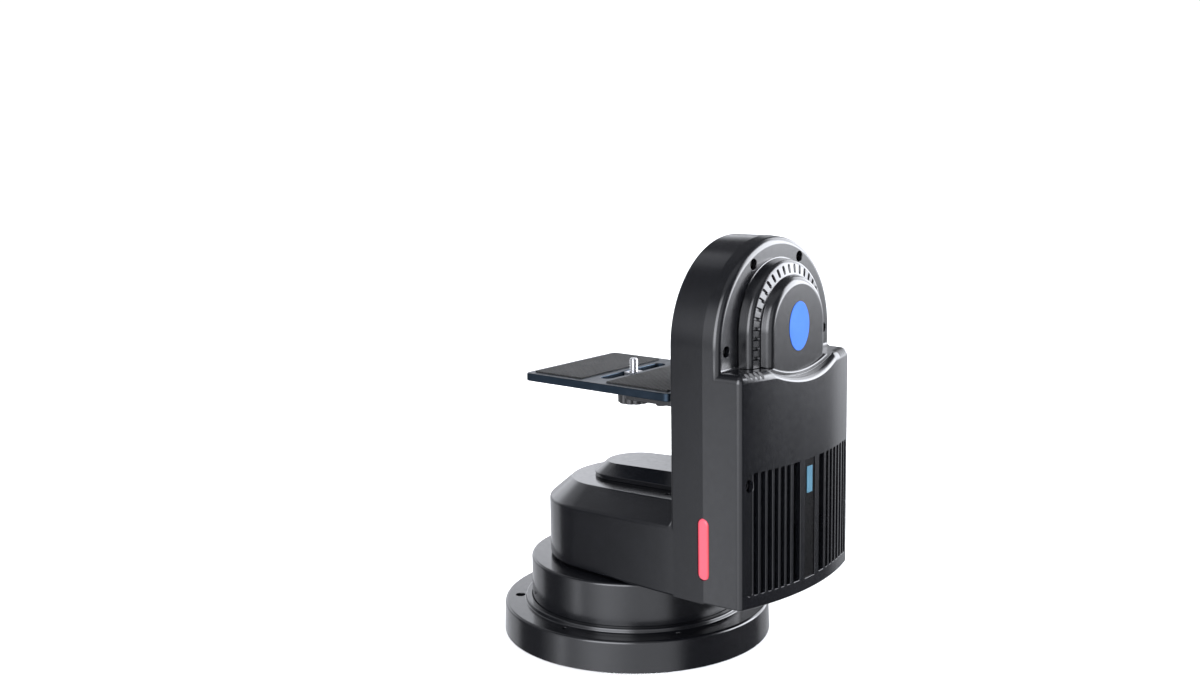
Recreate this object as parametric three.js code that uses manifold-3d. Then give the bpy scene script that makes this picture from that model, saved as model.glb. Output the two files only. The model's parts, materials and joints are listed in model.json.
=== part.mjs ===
// Robotic pan and tilt head for a camera, with an L-shaped arm.
// Units are millimetres. Z is up, the lens side of the camera faces -Y, and the arm stands on the +X side.
// The origin is on the pan axis, at the underside of the round base.
import * as THREE from 'three';
import { mergeVertices } from 'three/addons/utils/BufferGeometryUtils.js';
import Module from 'manifold-3d';

const wasm = await Module();
wasm.setup();

// ---- driving dimensions -------------------------------------------------------------------------------------------
const GAP = 0.3;            // clearance between neighbouring pieces
const WALL = 4.5;           // wall of the castings

const BASE_R = 99.6;        // base flange radius at the floor
const FLANGE_TOP = 23.0;    // height of the flange
const LIP_TOP = 26.2;       // height of the low ring round the drum
const BOLT_R = 87.9;        // radius of the circle of holes in the flange
const BOLT_ANGLES = [-141, 39];              // two through holes
const TAPPED_ANGLES = [-87, -32, 93, 148];   // four small blind holes
const DRUM_R = 78.5;        // drum radius
const DRUM_TOP = 57.4;

const BODY_Z = 59.0;        // underside of the rotating casting
const BODY_R = 63.9;        // round end of the pan body
const BODY_TOP_R = 47.0;    // round end at the top of its sloped shoulder
const SHOULDER_Z = 103.7;   // lower edge of the shoulder, at the pan axis
const BODY_TOP_Z = 117.4;   // top of the pan body, at the pan axis
const RISE = 0.045;         // slope of the body's top towards the arm
const ARM_X = 86.0;         // inner face of the arm
const ARM_W = 68.9;         // half width of the arm
const PARTING_X = 113.0;    // parting line between the casting and the outer cover
const ARCH_Z = 231.0;       // centre of the arm's round top

const PLATE_X = 125.0;      // flat face round the hub
const COVER_W = 69.4;       // half width of the outer cover
const LEDGE_Z = 217.0;      // top of the deep lower cover
const CORNER_X = 141.0;     // the lower cover's face at its corners
const BULGE_X = 152.5;      // the lower cover's face at its middle
const SCALLOP_Z = 206.8;    // lowest point of the hollow cut round the hub
const SCALLOP_R = 98.4, SCALLOP_X = 141.9;
const VENT_LOW = 68.5, VENT_HIGH = 151.3, VENT_W = 4.0;
const VENTS = [24, 30, 36, 42, 48, 54];
const WIDE_VENT = 15.4, WIDE_VENT_W = 7.4;
const STRIP_DEPTH = 0.8, STRIP_HALF = 6.3;          // shallow strip between the wide slots
const COVER_SCREW_Y = -59.3, COVER_SCREW_Z = 143.0;

const TILT_Z = 240.0;       // tilt axis height
const HUB_R = 45.5;
const HUB_FACE_X = 142.9;
const HUB_FACE_R = 28.8;
const BADGE_RY = 12.0, BADGE_RZ = 16.7, BADGE_Z = 241.0;
const PLATE_SCREWS = [[58.9, 230.0], [27.7, 284.0], [-27.7, 284.0], [-58.9, 230.0]];   // Y and Z
const DRAFT = 0.0787;       // slope of the outer cover's sides
const LAMP_X = 112.9, LAMP_R = 4.3, LAMP_LOW = 75.8, LAMP_HIGH = 118.0;

const PLAT_TOP = 194.4, PLAT_T = 5.8, PLAT_Y = 52.0, PLAT_X0 = -62.0, PLAT_X1 = 72.2;
const SLOT_HALF = 35.0, SLOT_W = 10.0;

const GEAR_TEETH = 48, PINION_TEETH = 12, GEAR_M = 1.5;
const PINION_X = GEAR_M * (GEAR_TEETH + PINION_TEETH) / 2 + 0.15;
const TILT_PULLEY_R = 34.0, MOTOR_PULLEY_R = 10.0, TILT_MOTOR_Z = 127.0;

// ---- helpers --------------------------------------------------------------------------------------------------------
function toManifold(geo) {
  const g = geo.clone();
  g.deleteAttribute('normal');
  g.deleteAttribute('uv');
  const m = mergeVertices(g, 1e-4);
  const pos = m.attributes.position.array;
  let idx = Array.from(m.index.array);
  const keep = [];
  for (let i = 0; i < idx.length; i += 3) {
    const [a, b, c] = [idx[i], idx[i + 1], idx[i + 2]];
    if (a !== b && b !== c && a !== c) keep.push(a, b, c);
  }
  idx = keep;
  let vol = 0;
  for (let i = 0; i < idx.length; i += 3) {
    const [a, b, c] = [idx[i] * 3, idx[i + 1] * 3, idx[i + 2] * 3];
    vol += pos[a] * (pos[b + 1] * pos[c + 2] - pos[b + 2] * pos[c + 1])
      - pos[a + 1] * (pos[b] * pos[c + 2] - pos[b + 2] * pos[c])
      + pos[a + 2] * (pos[b] * pos[c + 1] - pos[b + 1] * pos[c]);
  }
  if (vol < 0) for (let i = 0; i < idx.length; i += 3) [idx[i + 1], idx[i + 2]] = [idx[i + 2], idx[i + 1]];
  return new wasm.Manifold(new wasm.Mesh({ numProp: 3, vertProperties: new Float32Array(pos), triVerts: new Uint32Array(idx) }));
}

function toGeometry(solid) {
  const m = solid.getMesh();
  const g = new THREE.BufferGeometry();
  g.setAttribute('position', new THREE.BufferAttribute(new Float32Array(m.vertProperties), 3));
  g.setIndex(new THREE.BufferAttribute(new Uint32Array(m.triVerts), 1));
  g.computeVertexNormals();
  return g;
}

// rings of equal length joined into a closed body, with flat ends seen along the given axis
function loft(rings, axis = 'z') {
  const n = rings[0].length;
  const pos = [];
  rings.forEach((r) => r.forEach((p) => pos.push(...p)));
  const idx = [];
  for (let k = 0; k + 1 < rings.length; k++) {
    for (let i = 0; i < n; i++) {
      const j = (i + 1) % n;
      const a = k * n + i, b = k * n + j, c = (k + 1) * n + j, d = (k + 1) * n + i;
      idx.push(a, b, c, a, c, d);
    }
  }
  const flat = (p) => (axis === 'z' ? new THREE.Vector2(p[0], p[1]) : axis === 'x' ? new THREE.Vector2(p[1], p[2]) : new THREE.Vector2(p[2], p[0]));
  const ends = [[rings[0], 0, true], [rings[rings.length - 1], (rings.length - 1) * n, false]];
  const ccw = !THREE.ShapeUtils.isClockWise(rings[0].map(flat));
  for (const [ring, base, first] of ends) {
    const tris = THREE.ShapeUtils.triangulateShape(ring.map(flat), []);
    for (const [a, b, c] of tris) {
      if (first === ccw) idx.push(base + a, base + c, base + b);
      else idx.push(base + a, base + b, base + c);
    }
  }
  const g = new THREE.BufferGeometry();
  g.setAttribute('position', new THREE.BufferAttribute(new Float32Array(pos), 3));
  g.setIndex(idx);
  return toManifold(g);
}

const box = (x0, x1, y0, y1, z0, z1) => {
  const g = new THREE.BoxGeometry(x1 - x0, y1 - y0, z1 - z0);
  g.translate((x0 + x1) / 2, (y0 + y1) / 2, (z0 + z1) / 2);
  return toManifold(g);
};
// closed [r, z] profile turned round the Z axis through (x, y)
const lathe = (profile, seg = 64, x = 0, y = 0) => {
  const closed = [...profile, profile[0]].map(([r, z]) => new THREE.Vector2(r, z));
  const g = new THREE.LatheGeometry(closed, seg);
  g.rotateX(Math.PI / 2);
  g.translate(x, y, 0);
  return toManifold(g);
};
const disc = (r, z0, z1, seg = 32, x = 0, y = 0) => {
  const g = new THREE.CylinderGeometry(r, r, z1 - z0, seg);
  g.rotateX(Math.PI / 2);
  g.translate(x, y, (z0 + z1) / 2);
  return toManifold(g);
};
const rod = (r, x0, x1, y, z, seg = 32) => {      // along X
  const g = new THREE.CylinderGeometry(r, r, x1 - x0, seg);
  g.rotateZ(Math.PI / 2);
  g.translate((x0 + x1) / 2, y, z);
  return toManifold(g);
};
const rodY = (r, y0, y1, x, z, seg = 32) => {     // along Y
  const g = new THREE.CylinderGeometry(r, r, y1 - y0, seg);
  g.translate(x, (y0 + y1) / 2, z);
  return toManifold(g);
};
const tubeX = (R, r, x0, x1, y, z, seg = 26) => rod(R, x0, x1, y, z, seg).subtract(rod(r, x0 - 1, x1 + 1, y, z, seg));
const ringZ = (R, r, z0, z1, seg = 32) => lathe([[r, z0], [R, z0], [R, z1], [r, z1]], seg);
// outline in the YZ plane, pushed out along X
const slabX = (pts, x0, x1) => {
  const g = new THREE.ExtrudeGeometry(new THREE.Shape(pts.map(([y, z]) => new THREE.Vector2(y, z))), { depth: x1 - x0, bevelEnabled: false });
  g.applyMatrix4(new THREE.Matrix4().makeBasis(new THREE.Vector3(0, 1, 0), new THREE.Vector3(0, 0, 1), new THREE.Vector3(1, 0, 0)));
  g.translate(x0, 0, 0);
  return toManifold(g);
};
const slabZ = (pts, z0, z1) => {
  const g = new THREE.ExtrudeGeometry(new THREE.Shape(pts.map(([x, y]) => new THREE.Vector2(x, y))), { depth: z1 - z0, bevelEnabled: false });
  g.translate(0, 0, z0);
  return toManifold(g);
};
const join = (...s) => s.reduce((a, b) => a.add(b));
const cut = (a, ...s) => s.reduce((p, b) => p.subtract(b), a);

const head = new THREE.Group();
function piece(name, solid, color, roughness = 0.5, metalness = 0.0, parent = head) {
  const mesh = new THREE.Mesh(toGeometry(solid), new THREE.MeshStandardMaterial({ color, roughness, metalness }));
  mesh.name = name;
  parent.add(mesh);
  return mesh;
}
const BLACK = 0x35363a, DARK = 0x232427, STEEL = 0xb4b7bb, NAVY = 0x1f3a66, RUBBER = 0x1a1a1b, ALU = 0xa9adb2, BRASS = 0xb5924c, BOARD = 0x1e5b3a;

// ---- outlines -------------------------------------------------------------------------------------------------------
// pan body: a round end about the pan axis, with sides that widen a little towards the arm
function bodyRing(R, W, xEnd, zAt, bend = 0, n = 20) {
  const xc = bend || xEnd;
  const t = Math.atan2(W, xc) + Math.acos(Math.min(1, R / Math.hypot(xc, W)));
  const pts = [];
  for (let i = 0; i <= n; i++) {
    const a = t + (2 * Math.PI - 2 * t) * i / n;
    pts.push([R * Math.cos(a), R * Math.sin(a)]);
  }
  const [qx, qy] = pts[n], side = [];
  if (bend) for (let i = 1; i < 5; i++) {
    const u = i / 5, v = 1 - u;
    side.push([v * v * qx + 2 * u * v * xc + u * u * xEnd, v * v * qy - (2 * u * v + u * u) * W]);
  }
  pts.push(...side, [xEnd, -W], [xEnd, W], ...side.reverse().map(([x, y]) => [x, -y]));
  return pts.map(([x, y]) => [x, y, zAt(x)]);
}
// arm: straight sides with a round top
function archRing(X, W, zc, zb, n = 28) {
  const pts = [[X, -W, zb]];
  for (let i = 0; i <= n; i++) {
    const a = Math.PI - Math.PI * i / n;
    pts.push([X, W * Math.cos(a), zc + W * Math.sin(a)]);
  }
  pts.push([X, W, zb]);
  return pts;
}
const bulge = (y) => BULGE_X - (BULGE_X - CORNER_X) * (y / 68) ** 2;
// lower cover, seen from above, inset by e
const sideW = (x) => COVER_W - DRAFT * Math.max(0, x - PARTING_X);
function coverRing(z, e, x0 = PARTING_X + GAP) {
  const W0 = sideW(x0) - e, W = sideW(CORNER_X - 4.2) - e, pts = [[x0, -W0], [CORNER_X - 4.2 - e, -W], [CORNER_X - 2.2 - e, -W + 0.6], [CORNER_X - 0.6 - e, -W + 2.0]];
  const n = 12;
  for (let i = 0; i <= n; i++) {
    const y = (-W + 4) + (2 * W - 8) * i / n;
    pts.push([bulge(y) - e, y]);
  }
  pts.push([CORNER_X - 0.6 - e, W - 2.0], [CORNER_X - 2.2 - e, W - 0.6], [CORNER_X - 4.2 - e, W], [x0, W0]);
  return pts.map(([x, y]) => [x, y, z]);
}
const plain = (c) => () => c;
const sloped = (c) => (x) => c + RISE * x;

// ---- fixed base -----------------------------------------------------------------------------------------------------
let flange = lathe([[78.4, 0], [BASE_R, 0], [98.9, 21.6], [97.4, FLANGE_TOP], [83.6, FLANGE_TOP], [83.2, 25.6], [82.5, LIP_TOP], [78.9, LIP_TOP], [78.9, 12], [68, 12], [68, 4.6], [78.4, 4.6]], 56);
for (const a of BOLT_ANGLES) {
  const x = BOLT_R * Math.cos(a * Math.PI / 180), y = BOLT_R * Math.sin(a * Math.PI / 180);
  flange = cut(flange, disc(3.5, -1, 30, 14, x, y));
}
for (const a of TAPPED_ANGLES) {
  const x = BOLT_R * Math.cos(a * Math.PI / 180), y = BOLT_R * Math.sin(a * Math.PI / 180);
  flange = cut(flange, disc(1.7, FLANGE_TOP - 4, 30, 10, x, y));
}
piece('base_flange', flange, BLACK, 0.42, 0.3);

piece('base_bottom_plate', join(disc(78.0, 0, 4.3, 48),
  disc(3.5, 4, 11.7, 12, -52, -18), disc(3.5, 4, 11.7, 12, -52, 22), disc(3.5, 4, 11.7, 12, -26, -40), disc(3.5, 4, 11.7, 12, -26, 44)), DARK, 0.5, 0.4);

let drum = lathe([[74.2, 12.3], [DRUM_R, 12.3], [78.3, 55.8], [76.9, DRUM_TOP], [38.2, DRUM_TOP], [38.2, 50.6], [74.2, 50.6]], 56);
drum = cut(drum, box(-26, 26, 60, 90, 31, 49));
piece('base_drum', drum, BLACK, 0.42, 0.3);

// ---- connector housing at the back of the drum ----------------------------------------------------------------------
const HX = 31, HY = 92, HZ0 = 27.5, HZ1 = 53.5;
const housingOuter = loft([[[-HX, 68, HZ0], [HX, 68, HZ0], [HX, 68, HZ1], [-HX, 68, HZ1]], [[-HX + 1.5, HY, HZ0], [HX - 1.5, HY, HZ0], [HX - 1.5, HY, HZ1 - 1.5], [-HX + 1.5, HY, HZ1 - 1.5]]], 'y');
let housing = cut(housingOuter, disc(DRUM_R + GAP, 0, 80, 56), box(-HX + 3, HX - 3, 70, HY - 3, HZ0 + 3, HZ1 - 4));
housing = cut(housing, rodY(8.3, 80, 100, -19, 40, 28), box(-6.6, 11.6, 80, 100, 32.4, 48.0), box(16.4, 28.2, 80, 100, 30.6, 49.8));
piece('connector_housing', housing, BLACK, 0.45, 0.3);
piece('power_inlet', cut(rodY(8.0, 80.5, 93.2, -19, 40, 28), rodY(5.2, 83, 95, -19, 40, 24)), DARK, 0.4, 0.2);
piece('network_socket', cut(box(-6.2, 11.2, 79, 92.9, 32.8, 47.6), box(-3.4, 8.4, 81.5, 95, 35.2, 43.2), box(-1.0, 6.0, 81.5, 95, 43.0, 45.6)), ALU, 0.35, 0.8);
piece('switch_bezel', cut(box(16.8, 27.8, 86, 93.0, 31.0, 49.4), box(18.6, 26.0, 85, 95, 32.4, 48.0)), DARK, 0.45, 0.0);
// rocker, standing proud at its upper end
const rk = [[88.4, 34.2], [92.3, 34.2], [92.6, 40.2], [94.4, 46.2], [88.4, 46.2]];
const rkG = new THREE.ExtrudeGeometry(new THREE.Shape(rk.map(([y, z]) => new THREE.Vector2(y, z))), { depth: 6.2, bevelEnabled: false });
rkG.applyMatrix4(new THREE.Matrix4().makeBasis(new THREE.Vector3(0, 1, 0), new THREE.Vector3(0, 0, 1), new THREE.Vector3(1, 0, 0)));
rkG.translate(19.2, 0, 0);
piece('switch_rocker', toManifold(rkG), 0x18181a, 0.35, 0.0);

// ---- pan bearing, post and gear -------------------------------------------------------------------------------------
piece('pan_post', lathe([[8, 4.6], [30, 4.6], [30, 9], [14.2, 9], [14.2, 69.4], [18.5, 69.4], [18.5, 71.7], [12.2, 71.7], [12.2, 80], [8, 80]], 24), STEEL, 0.35, 0.9);
function gear(teeth, m, z0, z1, bore, phase, thick = 0.44) {
  const pts = [], p = 2 * Math.PI / teeth, rr = m * (teeth - 2.4) / 2, rt = m * (teeth + 1.8) / 2;
  for (let i = 0; i < teeth; i++) {
    const a = phase + i * p;
    for (const [r, f] of [[rr, -0.31], [rt, -0.31 + (0.31 - thick / 2) * 1.9], [rt, 0.31 - (0.31 - thick / 2) * 1.9], [rr, 0.31]]) pts.push([r * Math.cos(a + f * p), r * Math.sin(a + f * p)]);
  }
  const s = slabZ(pts, z0, z1);
  return bore ? cut(s, disc(bore, z0 - 1, z1 + 1, 28)) : s;
}
piece('pan_ring_gear', gear(GEAR_TEETH, GEAR_M, 72.0, 79.0, 12.5, 0), BRASS, 0.35, 0.9);
piece('pan_bearing_outer_race', ringZ(37.9, 32.4, 49.5, 57.0), STEEL, 0.25, 0.9);
piece('pan_bearing_inner_race', ringZ(29.8, 24.5, 49.5, 57.0), STEEL, 0.25, 0.9);
piece('pan_spindle', lathe([[16, 45], [28.4, 45], [28.4, 49.2], [24.2, 49.2], [24.2, 63.9], [36, 63.9], [36, 67.8], [16, 67.8]], 28), ALU, 0.35, 0.9);
piece('base_circuit_board', slabZ([[-57, -23], [-21, -45], [-21, 49], [-57, 27]], 12.0, 13.6).add(box(-50, -38, -8, 12, 13.4, 19)), BOARD, 0.5, 0.1);

// ---- rotating casting: pan body and inner half of the arm ------------------------------------------------------------
const BEND = 54;            // the walls run out in a slow curve that ends parallel to the arm
const bodyOuter = loft([
  bodyRing(BODY_R - 1.6, ARM_W - 1.6, ARM_X + 3, plain(BODY_Z), BEND),
  bodyRing(BODY_R, ARM_W - 0.1, ARM_X + 3, plain(BODY_Z + 1.8), BEND),
  bodyRing(BODY_R, ARM_W - 0.1, ARM_X + 3, sloped(SHOULDER_Z), BEND),
  bodyRing(BODY_TOP_R, 52.2, ARM_X + 3, sloped(BODY_TOP_Z), BEND),
]);
const armOuter = loft([archRing(ARM_X, ARM_W - 0.8, ARCH_Z, BODY_Z), archRing(ARM_X + 1, ARM_W, ARCH_Z, BODY_Z), archRing(PARTING_X, ARM_W, ARCH_Z, BODY_Z)], 'x');
const bodyInner = loft([
  bodyRing(BODY_R - WALL, ARM_W - WALL - 1, ARM_X + 8, plain(63.6)),
  bodyRing(BODY_R - WALL, ARM_W - WALL - 1, ARM_X + 8, sloped(SHOULDER_Z - 2.4)),
  bodyRing(BODY_TOP_R - 4, 46, ARM_X + 8, sloped(BODY_TOP_Z - 5)),
]);
const armInner = loft([archRing(ARM_X + WALL, ARM_W - WALL, ARCH_Z, 63.6), archRing(PARTING_X + 4, ARM_W - WALL, ARCH_Z, 63.6)], 'x');
const screwAt = PLATE_SCREWS;
const lampCut = (e) => {
  const g = new THREE.ExtrudeGeometry((() => {
    const s = new THREE.Shape(), r = LAMP_R + e;
    s.absarc(LAMP_X, LAMP_HIGH - LAMP_R, r, 0, Math.PI, false);
    s.absarc(LAMP_X, LAMP_LOW + LAMP_R, r, Math.PI, 2 * Math.PI, false);
    return s;
  })(), { depth: 9, bevelEnabled: false, curveSegments: 6 });
  g.applyMatrix4(new THREE.Matrix4().makeBasis(new THREE.Vector3(1, 0, 0), new THREE.Vector3(0, 0, 1), new THREE.Vector3(0, -1, 0)));
  return g;
};
const lampHole = (() => { const g = lampCut(GAP); g.scale(1, 1, 1); g.translate(0, -61.5, 0); return toManifold(g); })();
let casting = join(bodyOuter, armOuter);
casting = cut(casting, bodyInner, armInner);
for (const [y, z] of screwAt) casting = casting.add(rod(5, ARM_X + 3, PARTING_X, y, z, 10).intersect(loft([archRing(ARM_X + 2, ARM_W - 1, ARCH_Z, BODY_Z + 2), archRing(PARTING_X, ARM_W - 1, ARCH_Z, BODY_Z + 2)], 'x')));
for (const [y, z] of screwAt) casting = cut(casting, rod(2.4, 96, PARTING_X + 3, y, z, 8));
const serviceHole = loft([bodyRing(22, 26, 78, plain(100)), bodyRing(22, 26, 78, plain(135))]);
casting = cut(casting, disc(30.5, 50, 70, 36), serviceHole, rod(24.4, 80, 95, 0, TILT_Z, 32), lampHole);
for (const s of [-1, 1]) casting = cut(casting, disc(2.5, 110, 130, 12, 62, 40.5 * s));
piece('pan_casting', casting, BLACK, 0.42, 0.3);

// raised cap on the pan body
const CAP_FOOT = BODY_TOP_Z + GAP;
const capOuter = loft([
  bodyRing(29.7, 34.3, 85.7, sloped(CAP_FOOT)),
  bodyRing(29.7, 34.3, 85.7, sloped(118.3)),
  bodyRing(28.5, 33.1, 85.7, sloped(118.4)),
  bodyRing(28.5, 33.1, 85.7, sloped(119.7)),
  bodyRing(29.7, 34.3, 85.7, sloped(119.8)),
  bodyRing(29.5, 34.1, 85.7, sloped(120.8)),
  bodyRing(21.2, 23.5, 85.7, sloped(127.6)),
  bodyRing(20.2, 22.2, 85.7, sloped(128.1)),
]);
const capInner = loft([bodyRing(24.5, 29, 82, sloped(CAP_FOOT - 4)), bodyRing(24.5, 29, 82, sloped(119.2)), bodyRing(15, 19, 82, sloped(123.0))]);
piece('pan_top_cap', cut(capOuter, capInner), BLACK, 0.42, 0.3);
for (const [s, nm] of [[-1, 'front'], [1, 'rear']]) piece('body_screw_' + nm, cut(join(disc(2.2, 114.5, 118.2, 12, 62, 40.5 * s), disc(1.2, 108.6, 114.7, 8, 62, 40.5 * s)), disc(1.1, 116.9, 119, 6, 62, 40.5 * s)), DARK, 0.4, 0.8);

// pan motor and its pinion
const motor = (w, len) => {
  const c = 4, h = w / 2;
  return slabZ([[-h + c, -h], [h - c, -h], [h, -h + c], [h, h - c], [h - c, h], [-h + c, h], [-h, h - c], [-h, -h + c]], 0, len);
};
piece('pan_motor', join(motor(42, 26).translate([PINION_X, 0, 84.2]), disc(11, 82.2, 84.4, 20, PINION_X, 0)), DARK, 0.4, 0.6);
piece('pan_motor_bracket', cut(join(box(23, 68, -56, 56, 80.8, 83.9), box(30, 60, 50, 56, 63.9, 81), box(30, 60, -56, -50, 63.9, 81)), disc(11.5, 70, 90, 20, PINION_X, 0)), ALU, 0.4, 0.8);
const pinion = join(gear(PINION_TEETH, GEAR_M, 71.6, 79.4, 0, Math.PI + Math.PI / PINION_TEETH).translate([PINION_X, 0, 0]), disc(5, 79.2, 81.9, 20, PINION_X, 0));
piece('pan_pinion', pinion, BRASS, 0.35, 0.9);

// ---- outer cover of the arm -----------------------------------------------------------------------------------------
const X0 = PARTING_X + GAP;
const archCover = loft([
  archRing(X0, COVER_W, ARCH_Z, BODY_Z + 2, 30), archRing(120, sideW(120), ARCH_Z, BODY_Z + 2, 30), archRing(122.5, sideW(120) - 0.7, ARCH_Z, BODY_Z + 2, 30),
  archRing(124.3, sideW(120) - 2.5, ARCH_Z, BODY_Z + 2, 30), archRing(PLATE_X, sideW(120) - 5, ARCH_Z, BODY_Z + 2, 30)], 'x');
const lower = loft([coverRing(BODY_Z, 1.6), coverRing(BODY_Z + 1.6, 0), coverRing(LEDGE_Z - 5.2, 0), coverRing(LEDGE_Z - 3.2, 0.4), coverRing(LEDGE_Z - 1.3, 1.8), coverRing(LEDGE_Z, 5.2)]);
const lowerIn = loft([coverRing(63.6, WALL, X0 - 3), coverRing(200.5, WALL, X0 - 3)]);
const archIn = loft([archRing(X0 - 3, ARM_W - WALL, ARCH_Z, 150, 20), archRing(PLATE_X - 4, ARM_W - WALL - 1, ARCH_Z, 150, 20)], 'x');
let cover = cut(join(archCover, lower), lowerIn, archIn);
for (const [y, z] of screwAt) cover = cover.add(rod(5.4, X0, PLATE_X - 2, y, z, 12));
for (const [y, z] of screwAt) cover = cut(cover, rod(2.4, X0 - 1, PLATE_X + 1, y, z, 8), rod(3.6, 118.4, PLATE_X + 1, y, z, 12));
cover = cut(cover, rod(30, 110, 140, 0, TILT_Z, 28), rod(SCALLOP_R, SCALLOP_X, 160, 0, SCALLOP_Z + SCALLOP_R, 80), lampHole);
// seat of the hub's lower edge
cover = cut(cover, rod(87.0, 135.2, 144, 0, 297.3, 96).intersect(box(135, 145, -37, 37, 200, 260)),
  rod(88.0, 135.2, 136.6, 0, 297.3, 96).intersect(box(135, 145, -37, 37, 200, 260)));
const slot = (y, w) => box(136, 160, y - w / 2, y + w / 2, VENT_LOW, VENT_HIGH);
for (const y of VENTS) for (const s of [-1, 1]) cover = cut(cover, slot(s * y, VENT_W));
for (const s of [-1, 1]) cover = cut(cover, slot(s * WIDE_VENT, WIDE_VENT_W));
// shallow strips: one in the middle, and one at each end of the row
const strip = (y0, y1) => {
  const pts = [[160, y0], [160, y1]];
  for (let i = 4; i >= 0; i--) pts.push([bulge(y0 + (y1 - y0) * i / 4) - STRIP_DEPTH, y0 + (y1 - y0) * i / 4]);
  return slabZ(pts, VENT_LOW - 0.4, VENT_HIGH);
};
cover = cut(cover, strip(-STRIP_HALF, STRIP_HALF), strip(-61.4, -57.1), strip(57.1, 61.4));
const oblong = (r, half, x0, x1) => slabX(Array.from({ length: 20 }, (_, i) => {
  const a = Math.PI * (i < 10 ? i / 9 : (i - 10) / 9 + 1);
  return [COVER_SCREW_Y + r * Math.cos(a), COVER_SCREW_Z + (i < 10 ? 1 : -1) * half + r * Math.sin(a)];
}), x0, x1);
cover = cover.add(rod(4.6, 128, 140, COVER_SCREW_Y, COVER_SCREW_Z, 14));
cover = cut(cover, oblong(2.9, 1.4, 138.4, 160), rod(1.7, 120, 160, COVER_SCREW_Y, COVER_SCREW_Z, 10));
for (let i = 0; i < 4; i++) for (const s of [-1, 1]) {
  const y = s * (48.1 + i * 3.75);
  cover = cut(cover, box(bulge(y) - 6.0, bulge(y) + 3, y - 0.5, y + 0.5, LEDGE_Z - 2.0, LEDGE_Z + 3));
}
piece('arm_outer_cover', cover, BLACK, 0.42, 0.3);
screwAt.forEach(([y, z], i) => piece('plate_screw_' + (i + 1), cut(join(rod(3.2, 118.8, 121.8, y, z, 12), rod(2.0, 99, 119, y, z, 8)), rod(1.5, 120.4, 123, y, z, 6)), STEEL, 0.35, 0.9));
piece('cover_screw', cut(join(rod(2.6, 138.7, 140.9, COVER_SCREW_Y, COVER_SCREW_Z, 14), rod(1.4, 125, 138.9, COVER_SCREW_Y, COVER_SCREW_Z, 10)), rod(1.2, 139.8, 142, COVER_SCREW_Y, COVER_SCREW_Z, 6)), STEEL, 0.35, 0.9);

// hub dome: a stepped dome with straight sides that run down to the ledge
function hubRing(X, r, arc, n = 22) {
  const pts = [], m = 8, flat = LEDGE_Z + GAP;
  for (let i = 0; i <= n; i++) {
    const a = Math.PI - Math.PI * i / n;
    pts.push([X, r * Math.cos(a), TILT_Z + r * Math.sin(a)]);
  }
  for (let i = 0; i <= m; i++) {
    const y = r - 2 * r * i / m;
    pts.push([X, y, arc ? 210.7 + y * y / 173 : flat]);
  }
  return pts;
}
const hub = loft([hubRing(PLATE_X + GAP, HUB_R, false), hubRing(132.0, 43.9, false), hubRing(134.3, 41.6, false), hubRing(135.6, 35.6, false), hubRing(136.0, 34.8, true), hubRing(139.4, 33.7, true), hubRing(141.8, 31.8, true), hubRing(HUB_FACE_X, HUB_FACE_R, true)], 'x');
let dome = cut(hub, rod(29, 120, 138.5, 0, TILT_Z, 24));
// notches across the sloped ring
const notch = (angle, cz) => {
  const g = new THREE.BoxGeometry(3.0, 5.0, 1.2);
  g.rotateX(angle);
  g.translate(134.8, 39.3 * Math.cos(angle), cz + 39.3 * Math.sin(angle));
  dome = cut(dome, toManifold(g));
};
for (let i = 0; i < 19; i++) notch(Math.PI * (i + 0.5) / 19, TILT_Z);
for (let i = 0; i < 3; i++) for (const angle of [0, Math.PI]) notch(angle, TILT_Z - 3.3 - 6.5 * i);
piece('hub_dome', dome, BLACK, 0.5, 0.2);
const badge = [];
for (let i = 0; i < 32; i++) { const a = 2 * Math.PI * i / 32; badge.push([BADGE_RY * Math.cos(a), BADGE_Z + BADGE_RZ * Math.sin(a)]); }
piece('hub_badge', slabX(badge, HUB_FACE_X + 0.05, HUB_FACE_X + 0.85), 0x6ca0ff, 0.5, 0.0);
piece('label_tag', box(BULGE_X - STRIP_DEPTH + 0.05, BULGE_X - STRIP_DEPTH + 0.5, -3.4, 3.4, 127.6, 146.0), 0x7fb6e6, 0.5, 0.0);
piece('tally_lamp', (() => { const g = lampCut(0); g.translate(0, -60.9, 0); return toManifold(g); })(), 0xff5b6e, 0.3, 0.0);

// ---- tilt drive inside the arm --------------------------------------------------------------------------------------
const plateOutline = [];
for (let i = 0; i <= 16; i++) { const a = Math.PI * i / 16; plateOutline.push([53.2 * Math.cos(a), ARCH_Z + 53.2 * Math.sin(a)]); }
plateOutline.push([-53.2, 98], [53.2, 98]);
let drive = slabX(plateOutline, 107.6, 111.6);
for (const [y, z] of [[48, 104], [-48, 104], [40, 262], [-40, 262]]) drive = drive.add(rod(4, ARM_X + WALL + GAP, 108, y, z, 8));
drive = cut(drive, rod(19.7, 100, 120, 0, TILT_Z, 28), rod(11.5, 100, 120, 0, TILT_MOTOR_Z, 20));
piece('drive_plate', drive, ALU, 0.4, 0.8);
piece('tilt_motor', (() => {
  const m = motor(42, 34);
  const g = toGeometry(m);
  g.rotateY(Math.PI / 2);
  g.translate(111.9, 0, TILT_MOTOR_Z);
  return join(toManifold(g), rod(11, 109.4, 112.2, 0, TILT_MOTOR_Z, 20));
})(), DARK, 0.4, 0.6);
piece('tilt_motor_pulley', join(rod(MOTOR_PULLEY_R, 96.6, 105.4, 0, TILT_MOTOR_Z, 20), rod(12.4, 95.4, 96.7, 0, TILT_MOTOR_Z, 20), rod(12.4, 105.3, 106.6, 0, TILT_MOTOR_Z, 20), rod(2.5, 106.4, 109.1, 0, TILT_MOTOR_Z, 10)), ALU, 0.35, 0.9);
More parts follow.
